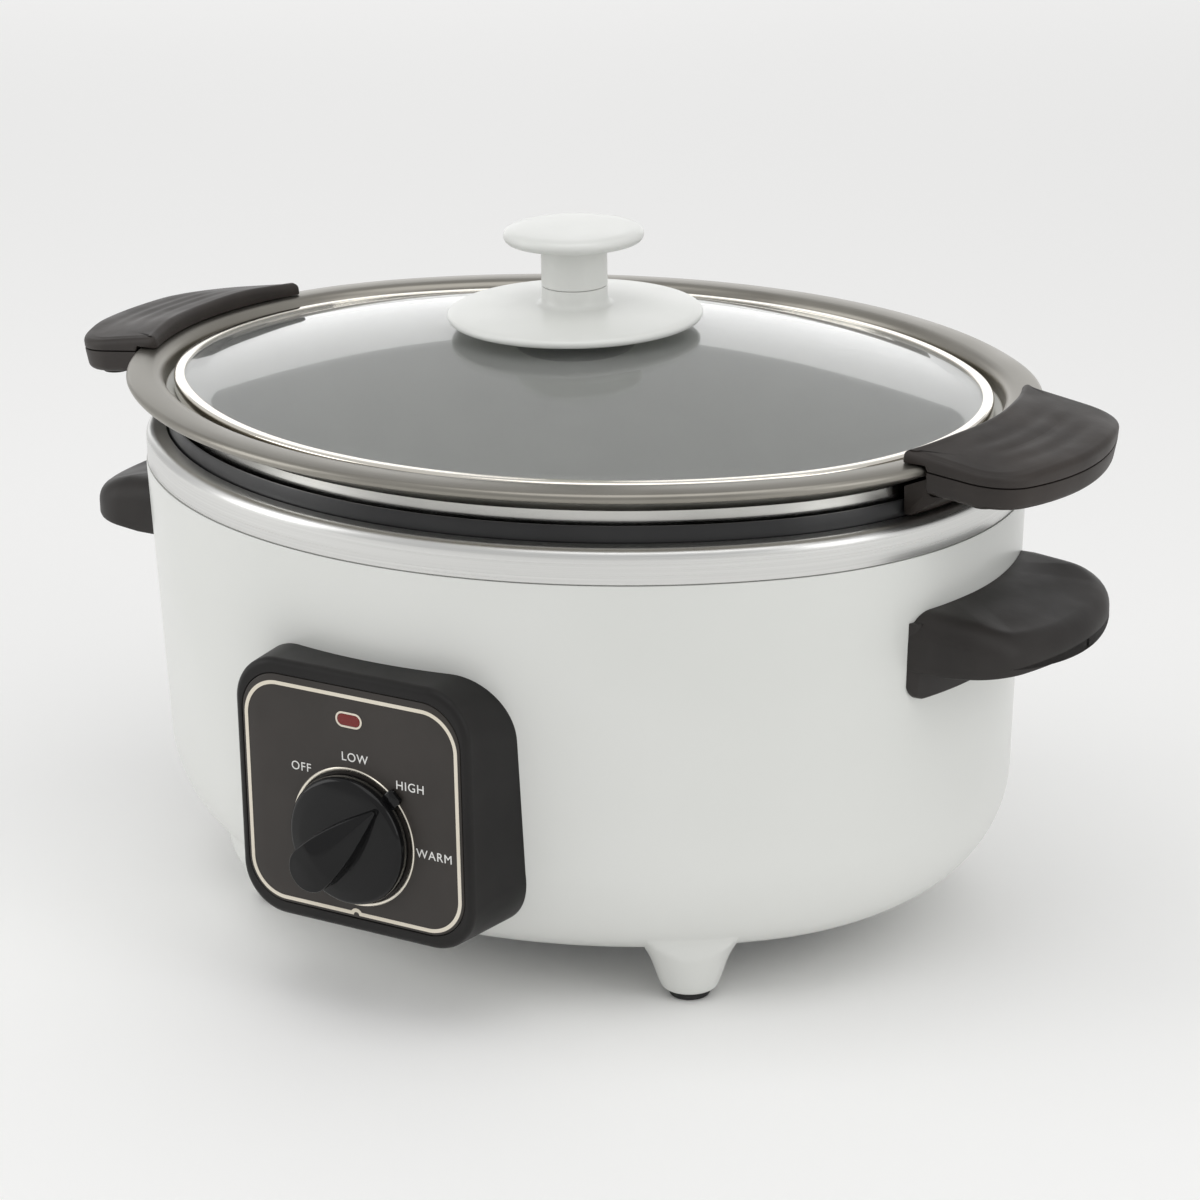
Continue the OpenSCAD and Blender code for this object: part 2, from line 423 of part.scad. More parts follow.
// ---- Lid ----
glass_t = 3.6;
glass_edge = rim_z - 4.1;
function dome_z(s) = (rim_z + dome_rise) - (dome_rise + 0.5) * (1 - cos(min(s / 0.97, 1) * 58)) / (1 - cos(58));
module glass_shell(a, rings, segs) {
  up = [for (i = [0:rings], k = [0:segs - 1]) let (s = i == rings ? 1 : 0.012 + 0.958 * i / (rings - 1), q = oval_pt(a, 360 * k / segs)) [q[0] * s, q[1] * s, max(dome_z(s), glass_edge + glass_t)]];
  dn = [for (i = [0:rings], k = [0:segs - 1]) let (s = i == rings ? 1 : 0.012 + 0.958 * i / (rings - 1), q = oval_pt(a, 360 * k / segs)) [q[0] * s, q[1] * s, max(dome_z(s) - glass_t, glass_edge)]];
  n = (rings + 1) * segs;
  polyhedron(points = concat(up, dn), faces = concat(
    [for (i = [0:rings - 1], k = [0:segs - 1]) let (p = i * segs + k, q = i * segs + (k + 1) % segs) each [[p, q, q + segs], [p, q + segs, p + segs]]],
    [for (i = [0:rings - 1], k = [0:segs - 1]) let (p = n + i * segs + k, q = n + i * segs + (k + 1) % segs) each [[p, q + segs, q], [p, p + segs, q + segs]]],
    [for (k = [0:segs - 1]) let (q = (k + 1) % segs) each [[k, n + k, n + q], [k, n + q, q]]],
    [for (k = [0:segs - 1]) let (p = rings * segs + k, q = rings * segs + (k + 1) % segs) each [[p, q, n + q], [p, n + q, n + p]]]));
}
module lid_glass() color([0.82, 0.85, 0.84, 0.4]) placed() difference() {
  glass_shell(F - 19.2, 10, 72);
  translate([0, 0, rim_z]) cylinder(r = 3.2, h = 40);
}
module lid_rim() color([0.84, 0.82, 0.77]) placed() sweep()
  polygon([[F - 18, rim_z - 4.9], [F - 18, rim_z - 0.4], [F - 18.7, rim_z + 0.4], [F - 21.4, rim_z + 0.4], [F - 22.2, rim_z - 0.2],
    [F - 22.2, rim_z - 0.35], [F - 18.9, rim_z - 0.35], [F - 18.9, rim_z - 4.3], [F - 21.4, rim_z - 4.3], [F - 21.4, rim_z - 5.1], [F - 18.4, rim_z - 5.1]]);
top_z = rim_z + dome_rise;
module knob_base() color([0.90, 0.91, 0.88]) placed() difference() {
  rotate_extrude() polygon(concat([[0, top_z + 1.7], [base_d / 2 - 1, top_z + 1.7]], arc(base_d / 2 - 1.4, top_z + 3.2, 1.4, -60, 60, 6), [[base_d / 2 - 8, top_z + 5.4], [22, top_z + 6.2], [stem_d / 2 + 1.2, top_z + 6.8], [stem_d / 2, top_z + 8], [stem_d / 2, top_z + 14], [0, top_z + 14]]));
  translate([0, 0, top_z]) cylinder(r = 2.8, h = 30);
}
module knob_gasket() color([0.16, 0.17, 0.16]) placed() difference() {
  translate([0, 0, top_z + 0.15]) cylinder(r = seal_d / 2, h = 1.45);
  translate([0, 0, top_z - 2]) cylinder(r = 7, h = 6);
}
module lid_knob() color([0.90, 0.91, 0.88]) placed() difference() {
  translate([0, 0, top_z]) rotate_extrude() polygon(concat([[0, 14.2], [stem_d / 2, 14.2], [stem_d / 2, 29], [stem_d / 2 + 1, 30.4], [knob_d / 2 - 4, 31.4]], arc(knob_d / 2 - 2, 33.2, 2, -60, 60, 6), [[knob_d / 2 - 6, 35.6], [0, 36.2]]));
  translate([0, 0, top_z]) cylinder(r = 2.6, h = 27);
}
module knob_seal() color([0.16, 0.17, 0.16]) placed() difference() {
  rotate_extrude() polygon(concat([[0, rim_z + 9.6], [seal_d / 2 - 6, rim_z + 9.6]], arc(seal_d / 2 - 4, rim_z + 13.6, 4, -90, 0, 6), [[seal_d / 2, top_z - glass_t - 1.4], [0, top_z - glass_t - 1.4]]));
  translate([0, 0, rim_z]) cylinder(r = 2.8, h = 30);
  translate([0, 0, rim_z + 9]) cylinder(r = 5, h = 4.4);
}
module knob_screw() color([0.75, 0.75, 0.76]) placed() {
  translate([0, 0, rim_z + 10.2]) cylinder(r = 4.6, h = 3);
  translate([0, 0, rim_z + 10.2]) cylinder(r = 2.5, h = top_z + 26 - rim_z - 10.2);
}

housing();
trim_band();
well_liner();
heater_band();
insulation_blanket();
well_stud();
well_stud_nut();
base_plate();
base_plate_screws();
foot_pads();
side_handle_left();
side_handle_right();
side_handle_screws();
panel_housing();
face_plate();
dial_ring();
indicator_lens();
indicator_lamp();
rotary_switch();
switch_nut();
panel_screws();
thermal_cutout();
terminal_block();
cord_gland();
supply_lead();
heater_lead();
lamp_lead();
control_knob();
switch_shaft();
cooking_pot();
pot_handle_left_top();
pot_handle_left_bottom();
pot_handle_right_top();
pot_handle_right_bottom();
pot_handle_screws();
lid_glass();
lid_rim();
lid_knob();
knob_base();
knob_gasket();
knob_seal();
knob_screw();
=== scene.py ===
import math
import bpy
import numpy as np
from mathutils import Vector, Matrix


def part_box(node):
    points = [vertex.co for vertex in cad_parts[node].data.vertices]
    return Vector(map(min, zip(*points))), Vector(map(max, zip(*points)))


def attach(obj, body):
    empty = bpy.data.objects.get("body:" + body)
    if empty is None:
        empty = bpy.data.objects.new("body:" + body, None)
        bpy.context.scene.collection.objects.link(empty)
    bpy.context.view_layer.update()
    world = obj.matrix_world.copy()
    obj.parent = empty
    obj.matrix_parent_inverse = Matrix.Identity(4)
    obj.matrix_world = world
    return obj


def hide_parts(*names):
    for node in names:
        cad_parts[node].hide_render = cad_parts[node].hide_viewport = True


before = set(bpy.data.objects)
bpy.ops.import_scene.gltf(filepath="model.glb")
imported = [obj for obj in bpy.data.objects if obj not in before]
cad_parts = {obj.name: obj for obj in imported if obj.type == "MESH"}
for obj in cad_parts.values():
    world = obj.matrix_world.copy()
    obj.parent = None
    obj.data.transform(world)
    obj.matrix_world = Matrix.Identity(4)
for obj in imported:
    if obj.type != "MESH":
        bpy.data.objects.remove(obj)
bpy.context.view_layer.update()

# ---------------------------------------------------------------- datums, read from the frame
# heights below are measured from a datum plane that lies this far above the table
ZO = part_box("cooking_pot")[0][2] * 1000.0 - 72.5


def lohi(node):
    lo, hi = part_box(node)
    up = np.array([0, 0, ZO])
    return np.array(lo) * 1000.0 - up, np.array(hi) * 1000.0 - up


_gl, _gh = lohi("lid_glass")
_pl, _ph = lohi("cooking_pot")
_rl, _rh = lohi("lid_rim")
BY = (_gl[1] + _gh[1]) / 2          # the oval's middle
RZ = _ph[2] - 2.1                   # flange datum
F = _rh[0] + 18.0                   # half length of the pot's flange
SLIM = F - (_rh[1] - BY) - 18.0     # half length less half width
C1 = SLIM / (2 - math.sqrt(2))
Q = C1 - SLIM
_sl, _sh = lohi("switch_shaft")
DZ = (_sl[2] + _sh[2]) / 2          # dial axis
_fl, _fh = lohi("face_plate")
FY = _fl[1] - BY                    # front face of the panel
LENS_Z = sum(lohi("indicator_lens")[i][2] for i in (0, 1)) / 2
_bl, _bh = lohi("panel_housing")
PZ = (_fl[2] + _fh[2]) / 2          # middle of the panel
BAND_TOP = RZ - 20.0
BAND_LOW = BAND_TOP - 12.6
POT_FLOOR = _pl[2]
COR_Z = POT_FLOOR + 22.5
COR_A = F - 44.0
UNDER = 8.0
LOW, BR, SLOPE = 53.0, 45.0, 0.039   # where the side meets the lower round, the round's radius, the side's slope
DROOP = math.radians(6.5)            # tilt of the pot handles
SEAM = RZ - 0.8
TOPZ = (lohi("knob_gasket")[0][2]) - 0.15
MM = 0.001


def body_a(z):
    """reach of the housing's outer surface"""
    z = np.asarray(z, float)
    a0 = F - 5.8 - SLOPE * (BAND_LOW - LOW) - BR
    low = a0 + np.sqrt(np.maximum(BR ** 2 - np.maximum(LOW - z, 0) ** 2, 0))
    return np.where(z >= LOW, F - 5.8 - SLOPE * (BAND_LOW - z), low)


def droop(p):
    """tilts points of a pot handle down about the flange's edge"""
    p = np.array(p, float)
    x, z = p[..., 0] - F, p[..., 2] - SEAM
    c, s = math.cos(DROOP), math.sin(DROOP)
    q = p.copy()
    q[..., 0] = F + x * c + z * s
    q[..., 2] = SEAM - x * s + z * c
    return q


def oval(a, t):
    """points of the oval of reach a whose normal points along angle t (radians)"""
    a, t = np.broadcast_arrays(np.asarray(a, float), np.asarray(t, float))
    c, s = np.cos(t), np.sin(t)
    end = np.abs(s) <= math.sin(math.pi / 4) + 1e-12
    x = np.where(end, np.sign(c) * C1 + (a - C1) * c, (a + Q) * c)
    y = np.where(end, (a - C1) * s, -np.sign(s) * C1 + (a + Q) * s)
    return x, y


def end_x(a, y):
    return C1 + np.sqrt(np.maximum((a - C1) ** 2 - np.asarray(y, float) ** 2, 0))


def front_y(a, x):
    return C1 - np.sqrt(np.maximum((a + Q) ** 2 - np.asarray(x, float) ** 2, 0))


# ---------------------------------------------------------------- mesh tools (millimetres, about the oval's middle)
def fillet(points, n=6):
    """points (x, y, r): a closed outline with its corners rounded by arcs"""
    out = []
    m = len(points)
    for i in range(m):
        p0 = np.array(points[i - 1][:2], float)
        p1 = np.array(points[i][:2], float)
        p2 = np.array(points[(i + 1) % m][:2], float)
        r = points[i][2] if len(points[i]) > 2 else 0
        if r <= 0:
            out.append(tuple(p1))
            continue
        u, v = p0 - p1, p2 - p1
        lu, lv = np.linalg.norm(u), np.linalg.norm(v)
        u, v = u / lu, v / lv
        ang = math.acos(max(-1, min(1, float(u @ v))))
        if ang > math.pi - 1e-3:
            out.append(tuple(p1))
            continue
        d = min(r / math.tan(ang / 2), 0.49 * lu, 0.49 * lv)
        rr = d * math.tan(ang / 2)
        b = (u + v) / np.linalg.norm(u + v)
        c = p1 + b * (rr / math.sin(ang / 2))
        s, e = p1 + u * d, p1 + v * d
        a0 = math.atan2(*(s - c)[::-1])
        a1 = math.atan2(*(e - c)[::-1])
        da = (a1 - a0 + math.pi) % (2 * math.pi) - math.pi
        for k in range(n + 1):
            t = a0 + da * k / n
            out.append((c[0] + rr * math.cos(t), c[1] + rr * math.sin(t)))
    return out


def arc(cx, cy, r, a0, a1, n):
    return [(cx + r * math.cos(math.radians(a0 + (a1 - a0) * i / n)),
             cy + r * math.sin(math.radians(a0 + (a1 - a0) * i / n))) for i in range(n + 1)]


class Build:
    """collects verts (mm), faces and material indices of one piece"""

    def __init__(self):
        self.v, self.f, self.m = [], [], []

    def add(self, verts, faces, mat=0):
        o = len(self.v)
        self.v.extend([tuple(map(float, p)) for p in verts])
        self.f.extend([tuple(o + i for i in q) for q in faces])
        self.m.extend(list(mat) if isinstance(mat, (list, tuple)) else [mat] * len(faces))

    def rings(self, rings, closed_u=True, closed_v=False, cap0=None, cap1=None, mat=0, flip=False):
        """rings: R x M x 3. cap: 'fan' closes an end ring by its middle"""
        R = np.asarray(rings, float)
        nr, m = R.shape[:2]
        verts = R.reshape(-1, 3).tolist()
        faces, mats = [], []
        for i in range(nr if closed_v else nr - 1):
            j = (i + 1) % nr
            mi = mat[i] if isinstance(mat, (list, tuple)) else mat
            for k in range(m if closed_u else m - 1):
                l = (k + 1) % m
                q = (i * m + k, i * m + l, j * m + l, j * m + k)
                faces.append(q[::-1] if flip else q)
                mats.append(mi)
        for cap, ring in ((cap0, 0), (cap1, nr - 1)):
            if cap is None:
                continue
            mid = R[ring].mean(axis=0) if isinstance(cap, str) else np.array(cap, float)
            verts.append(mid.tolist())
            c = len(verts) - 1
            mi = (mat[0] if ring == 0 else mat[-1]) if isinstance(mat, (list, tuple)) else mat
            for k in range(m):
                l = (k + 1) % m
                q = (ring * m + k, c, ring * m + l) if ring == 0 else (ring * m + k, ring * m + l, c)
                faces.append(q[::-1] if flip else q)
                mats.append(mi)
        self.add(verts, faces, mats)
        return self

    def sweep(self, profile, n=288, closed=True, mat=0):
        t = (np.arange(n) + 0.5) / n * 2 * math.pi
        rings = []
        for a, z in profile:
            x, y = oval(a, t)
            rings.append(np.stack([x, y, np.full(n, z)], 1))
        return self.rings(rings, closed_v=closed, mat=mat)

    def sweep_capped(self, profile, n=288, mat=0):
        """open profile whose two ends are closed across the middle"""
        t = (np.arange(n) + 0.5) / n * 2 * math.pi
        rings = []
        def ring(a, z):
            x, y = oval(a, t)
            return np.stack([x, y, np.full(n, z)], 1)
        a0, z0 = profile[0]
        a1, z1 = profile[-1]
        base = ring(a0, z0)
        rings += [base * np.array([s, s, 1]) for s in (0.02, 0.3, 0.6, 0.85)]
        mats = [mat[0] if isinstance(mat, (list, tuple)) else mat] * 4
        rings += [ring(a, z) for a, z in profile]
        mats += list(mat) if isinstance(mat, (list, tuple)) else [mat] * (len(profile) - 1)
        last = ring(a1, z1)
        rings += [last * np.array([s, s, 1]) for s in (0.85, 0.6, 0.3, 0.02)]
        mats += [mats[-1]] * 4
        return self.rings(rings, cap0="fan", cap1="fan", mat=mats + [mats[-1]])

    def lathe(self, profile, n=96, closed=True, at=(0, 0, 0), axis="z", cap0=None, cap1=None, mat=0):
        t = np.arange(n) / n * 2 * math.pi
        rings = []
        for r, h in profile:
            c, s = np.cos(t) * r, np.sin(t) * r
            if axis == "z":
                p = np.stack([c, s, np.full(n, h)], 1)
            elif axis == "-y":     # height runs towards the front
                p = np.stack([c, np.full(n, -h), s], 1)
            else:                  # +y
                p = np.stack([c, np.full(n, h), -s], 1)
            rings.append(p + np.array(at))
        return self.rings(rings, closed_v=closed, cap0=cap0, cap1=cap1, mat=mat)

    def make(self, name, mats, body, nodes, slot, smooth=32.0, mirror=False, both=False):
        v = np.array(self.v)
        faces, fm = list(self.f), list(self.m)
        if mirror or both:
            w = v.copy()
            w[:, 0] *= -1
            if both:
                o = len(v)
                v = np.concatenate([v, w])
                faces += [tuple(o + i for i in q[::-1]) for q in self.f]
                fm += self.m
            else:
                v = w
                faces = [q[::-1] for q in faces]
        v = v + np.array([0, BY, ZO])
        me = bpy.data.meshes.new(name)
        me.from_pydata((v * MM).tolist(), [], faces)
        for m in (mats if isinstance(mats, (list, tuple)) else [mats]):
            me.materials.append(m)
        me.polygons.foreach_set("material_index", fm)
        me.validate()
        import bmesh
        bm = bmesh.new()
        bm.from_mesh(me)
        bmesh.ops.remove_doubles(bm, verts=bm.verts, dist=1e-6)
        bmesh.ops.dissolve_degenerate(bm, edges=bm.edges, dist=1e-7)
        bmesh.ops.recalc_face_normals(bm, faces=bm.faces)
        bm.to_mesh(me)
        bm.free()
        me.shade_smooth()
        me.set_sharp_from_angle(angle=math.radians(smooth))
        ob = bpy.data.objects.new(name, me)
        bpy.context.scene.collection.objects.link(ob)
        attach(ob, body)
        if nodes:
            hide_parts(*nodes)
        return ob


# ---------------------------------------------------------------- materials
def material(name, color=(0.8, 0.8, 0.8), rough=0.5, metal=0.0, **kw):
    m = bpy.data.materials.new(name)
    m.use_nodes = True
    nt = m.node_tree
    b = nt.nodes["Principled BSDF"]
    b.inputs["Base Color"].default_value = (*color, 1)
    b.inputs["Roughness"].default_value = rough
    b.inputs["Metallic"].default_value = metal
    for k, val in kw.items():
        b.inputs[k.replace("_", " ")].default_value = val
    return m, nt, b


def noise(nt, scale, detail=3.0, rough=0.5, stretch=(1, 1, 1), offset=(0, 0, 0)):
    tc = nt.nodes.new("ShaderNodeTexCoord")
    mp = nt.nodes.new("ShaderNodeMapping")
    mp.inputs["Scale"].default_value = stretch
    mp.inputs["Location"].default_value = offset
    n = nt.nodes.new("ShaderNodeTexNoise")
    n.inputs["Scale"].default_value = scale
    n.inputs["Detail"].default_value = detail
    n.inputs["Roughness"].default_value = rough
    nt.links.new(tc.outputs["Object"], mp.inputs["Vector"])
    nt.links.new(mp.outputs["Vector"], n.inputs["Vector"])
    return n


def vary_color(nt, b, n, c0, c1, lo=0.35, hi=0.65):
    r = nt.nodes.new("ShaderNodeValToRGB")
    r.color_ramp.elements[0].position = lo
    r.color_ramp.elements[1].position = hi
    r.color_ramp.elements[0].color = (*c0, 1)
    r.color_ramp.elements[1].color = (*c1, 1)
    nt.links.new(n.outputs["Fac"], r.inputs["Fac"])
    nt.links.new(r.outputs["Color"], b.inputs["Base Color"])


def vary_rough(nt, b, n, r0, r1):
    mr = nt.nodes.new("ShaderNodeMapRange")
    mr.inputs["From Min"].default_value = 0.3
    mr.inputs["From Max"].default_value = 0.7
    mr.inputs["To Min"].default_value = r0
    mr.inputs["To Max"].default_value = r1
    nt.links.new(n.outputs["Fac"], mr.inputs["Value"])
    nt.links.new(mr.outputs["Result"], b.inputs["Roughness"])


def bump(nt, b, n, strength, dist):
    bp = nt.nodes.new("ShaderNodeBump")
    bp.inputs["Strength"].default_value = strength
    bp.inputs["Distance"].default_value = dist
    nt.links.new(n.outputs["Fac"], bp.inputs["Height"])
    nt.links.new(bp.outputs["Normal"], b.inputs["Normal"])
    return bp


def mat_enamel():
    m, nt, b = material("enamel_white", rough=0.34, Coat_Weight=0.25, Coat_Roughness=0.12, IOR=1.5)
    n = noise(nt, 9, 2)
    vary_color(nt, b, n, (0.735, 0.745, 0.715), (0.765, 0.772, 0.745))
    n2 = noise(nt, 420, 2)
    vary_rough(nt, b, n, 0.30, 0.38)
    bump(nt, b, n2, 0.08, 0.0002)
    return m


def mat_plastic(name, c0, c1, r0, r1, grain=900, strength=0.12, dist=0.00015, **kw):
    m, nt, b = material(name, rough=r0, **kw)
    n = noise(nt, 35, 4)
    vary_color(nt, b, n, c0, c1)
    vary_rough(nt, b, noise(nt, 60, 3), r0, r1)
    bump(nt, b, noise(nt, grain, 2), strength, dist)
    return m


def mat_brushed(name, c0, c1, r0, r1, stretch=(4, 4, 1500), scale=1.0, strength=0.15, **kw):
    m, nt, b = material(name, metal=1.0, rough=r0, **kw)
    n = noise(nt, scale, 4, 0.6, stretch)
    vary_color(nt, b, n, c0, c1)
    vary_rough(nt, b, n, r0, r1)
    bump(nt, b, n, strength, 0.00008)
    return m


def mat_metal(name, c0, c1, r0, r1, grain=300, strength=0.05, **kw):
    m, nt, b = material(name, metal=1.0, rough=r0, **kw)
    n = noise(nt, 25, 3)
    vary_color(nt, b, n, c0, c1)
    vary_rough(nt, b, n, r0, r1)
    bump(nt, b, noise(nt, grain, 3), strength, 0.0001)
    return m


M = {}
M["enamel"] = mat_enamel()
M["steel"] = mat_brushed("steel_brushed", (0.66, 0.66, 0.645), (0.74, 0.74, 0.725), 0.26, 0.36)
M["liner"] = mat_plastic("liner_black", (0.012, 0.012, 0.013), (0.018, 0.018, 0.019), 0.30, 0.42, grain=500)
M["pot_wall"] = mat_metal("pot_wall_polished", (0.66, 0.655, 0.63), (0.72, 0.715, 0.69), 0.14, 0.22)
M["flange"] = mat_metal("flange_satin", (0.27, 0.255, 0.225), (0.31, 0.295, 0.262), 0.30, 0.38, strength=0.04)
M["pot_inside"] = mat_metal("pot_inside_grey", (0.58, 0.58, 0.55), (0.66, 0.66, 0.63), 0.42, 0.52)
M["rim"] = mat_metal("rim_chrome", (0.83, 0.79, 0.71), (0.87, 0.83, 0.75), 0.08, 0.14, strength=0.02)
M["handle"] = mat_plastic("handle_brown_black", (0.026, 0.0215, 0.019), (0.038, 0.031, 0.027), 0.44, 0.56, grain=700, strength=0.18, Specular_IOR_Level=0.32)
M["side_handle"] = mat_plastic("side_handle_black", (0.022, 0.0195, 0.018), (0.030, 0.0265, 0.0245), 0.44, 0.56, grain=900, strength=0.15, Specular_IOR_Level=0.30)
M["panel"] = mat_plastic("panel_black", (0.010, 0.0092, 0.0088), (0.0135, 0.0125, 0.012), 0.40, 0.48, grain=900, strength=0.08, Specular_IOR_Level=0.25)
M["face"] = mat_plastic("face_brown_black", (0.032, 0.0275, 0.024), (0.038, 0.0325, 0.0285), 0.46, 0.54, grain=1400, strength=0.06, Specular_IOR_Level=0.38)
M["cream"] = mat_plastic("print_cream", (0.76, 0.70, 0.58), (0.80, 0.74, 0.63), 0.40, 0.5, grain=1200, strength=0.03)
M["legend"] = mat_plastic("print_white", (0.80, 0.80, 0.78), (0.84, 0.84, 0.82), 0.45, 0.5, grain=1200, strength=0.03)
M["dial"] = mat_plastic("dial_gloss", (0.004, 0.004, 0.0042), (0.006, 0.006, 0.0064), 0.10, 0.16, grain=500, strength=0.01, Specular_IOR_Level=0.22, Coat_Weight=0.1, Coat_Roughness=0.05)
M["ring"] = mat_metal("ring_cream_metal", (0.82, 0.77, 0.66), (0.86, 0.81, 0.71), 0.22, 0.3, strength=0.02)
M["knob"] = mat_plastic("knob_white", (0.735, 0.745, 0.715), (0.765, 0.772, 0.745), 0.30, 0.38, grain=700, strength=0.03, Coat_Weight=0.2, Coat_Roughness=0.15)
M["seal"] = mat_plastic("seal_dark", (0.038, 0.042, 0.038), (0.05, 0.055, 0.05), 0.40, 0.5, grain=400, strength=0.05)
M["rubber"] = mat_plastic("rubber_black", (0.012, 0.012, 0.012), (0.018, 0.018, 0.018), 0.6, 0.75, grain=500, strength=0.2)
M["zinc"] = mat_metal("zinc_plate", (0.62, 0.62, 0.60), (0.70, 0.70, 0.69), 0.28, 0.4, grain=600)
M["galv"] = mat_metal("galvanised", (0.46, 0.47, 0.475), (0.60, 0.61, 0.615), 0.34, 0.5, grain=90, strength=0.1)
M["mica"] = mat_plastic("mica_tape", (0.46, 0.36, 0.20), (0.60, 0.48, 0.30), 0.6, 0.8, grain=300, strength=0.4)
M["glassmat"] = mat_plastic("glass_mat", (0.78, 0.76, 0.70), (0.88, 0.87, 0.82), 0.8, 0.95, grain=250, strength=0.6, dist=0.0006)
M["bakelite"] = mat_plastic("switch_cream", (0.55, 0.52, 0.44), (0.62, 0.59, 0.51), 0.4, 0.55, grain=500)
M["lead"] = mat_plastic("lead_sleeve", (0.70, 0.66, 0.55), (0.78, 0.74, 0.64), 0.5, 0.65, grain=300)


def mat_glass():
    m, nt, b = material("lid_glass_painted_sheen", color=(0.84, 0.855, 0.84), rough=0.03, IOR=1.5)
    # only part of the glass transmits; the rest is a light grey diffuse veil, a painted sheen standing in for the
    # studio's reflection in the glass
    b.inputs["Transmission Weight"].default_value = 0.84
    n = noise(nt, 6, 2)
    vary_rough(nt, b, n, 0.02, 0.05)
    bump(nt, b, noise(nt, 14, 2), 0.05, 0.0004)
    return m


M["glass"] = mat_glass()


def mat_lens():
    m, nt, b = material("lens_red", color=(0.17, 0.022, 0.02), rough=0.18, Specular_IOR_Level=0.3, IOR=1.49)
    b.inputs["Transmission Weight"].default_value = 0.25
    b.inputs["Emission Color"].default_value = (0.8, 0.06, 0.05, 1)
    b.inputs["Emission Strength"].default_value = 0.05
    v = nt.nodes.new("ShaderNodeTexVoronoi")
    v.inputs["Scale"].default_value = 900
    tc = nt.nodes.new("ShaderNodeTexCoord")
    nt.links.new(tc.outputs["Object"], v.inputs["Vector"])
    bp = nt.nodes.new("ShaderNodeBump")
    bp.inputs["Strength"].default_value = 0.5
    bp.inputs["Distance"].default_value = 0.0002
    nt.links.new(v.outputs["Distance"], bp.inputs["Height"])
    nt.links.new(bp.outputs["Normal"], b.inputs["Normal"])
    return m


M["lens"] = mat_lens()

# ---------------------------------------------------------------- camera
cam_d = bpy.data.cameras.new("camera")
cam = bpy.data.objects.new("camera", cam_d)
bpy.context.scene.collection.objects.link(cam)
cam_d.sensor_width = 36.0
cam_d.lens = 3852.6 * 36.0 / 1200.0
cam_d.clip_end = 30
az, el, roll = math.radians(31.72), math.radians(18.84), math.radians(-1.095)
right = Vector((math.cos(az), math.sin(az), 0))
fwd = Vector((-math.sin(az) * math.cos(el), math.cos(az) * math.cos(el), -math.sin(el)))
up = right.cross(fwd)
target = right * 7.24 + Vector((0, BY, RZ + ZO - 88.83))
pos = target - fwd * 1480.4
r2 = right * math.cos(roll) + up * math.sin(roll)
u2 = up * math.cos(roll) - right * math.sin(roll)
rot = Matrix((r2, u2, -fwd)).transposed().to_4x4()
cam.matrix_world = Matrix.Translation(pos * MM) @ rot
bpy.context.scene.camera = cam

# ---------------------------------------------------------------- heating base
low = LOW
a0 = float(body_a(LOW)) - BR
ST = 2.4
prof = ([(F - 6, BAND_LOW - 0.3), (float(body_a(BAND_LOW - 1)), BAND_LOW - 1)] +
        [(float(body_a(z)), z) for z in (130, 100, 70)] +
        arc(a0, low, BR, 0, -90, 24) +
        [(F - 68.5, UNDER), (F - 69, UNDER + 0.5), (F - 69, UNDER + ST)] +
        arc(a0, low, BR - ST, -90, 0, 14) +
        [(float(body_a(BAND_LOW - 8)) - ST, BAND_LOW - 8), (F - 9.8, BAND_LOW - 4), (F - 9.8, RZ - 27), (F - 12.6, RZ - 24.7),
         (F - 12.6, RZ - 22.7), (F - 8.6, RZ - 22.7), (F - 7.8, RZ - 25.5), (F - 7.8, BAND_LOW - 0.3)])
hb = Build().sweep(prof, n=320)
_ql, _qh = lohi("foot_pads")
fx, fy = (_qh[0] - 7.5), ((_qh[1] - _ql[1]) / 2 - 7.5)
for i in (-1, 1):
    for j in (-1, 1):
        # legs: tapered, rounded at the toe, faired into the underside
        n = 72
        t = np.arange(n) / n * 2 * math.pi
        toe = 3.0 - ZO
        pr = [(4.2, toe + 6.0), (4.2, toe + 0.25), (4.45, toe)] + arc(8.1, toe + 2.8, 2.8, -90, -15, 7)
        pr += [(10.3 + 0.33 * (z - toe) + 0.02 * max(z - 4, 0) ** 2, z) for z in (-2, 0, 2, 4, 6, 8, 10, 12, 14, 16, 18, 20, 22, 25)]
        cen = np.array([i * fx, j * fy])
        rings = []
        for r, z in pr:
            p = cen + np.stack([np.cos(t) * r, np.sin(t) * r], 1)
            # keep inside the housing's side
            d = p - np.array([0, -j * C1])
            rad = np.linalg.norm(d, axis=1)
            lim = max(float(body_a(z)) - 0.12, 154.2) + Q
            p = np.array([0, -j * C1]) + d * (np.minimum(rad, lim) / rad)[:, None]
            rings.append(np.concatenate([p, np.full((n, 1), z)], 1))
        hb.rings(rings, cap0="fan")
housing = hb.make("base_shell", M["enamel"], "base", ["housing"], "housing", smooth=40)

bt = Build().sweep([(F - 6.3, BAND_LOW + 0.25), (F - 6.45, BAND_LOW), (F - 7.3, BAND_LOW), (F - 7.3, BAND_TOP - 3.5)] +
                   arc(F - 9.8, BAND_TOP - 3.5, 2.5, 6, 90, 6) + [(F - 14, BAND_TOP - 1), (F - 14, BAND_TOP)] +
                   arc(F - 9.8, BAND_TOP - 3.5, 3.5, 90, 0, 10), n=320)
bt.make("steel_trim_band", M["steel"], "base", ["trim_band"], "trim_band", smooth=40)

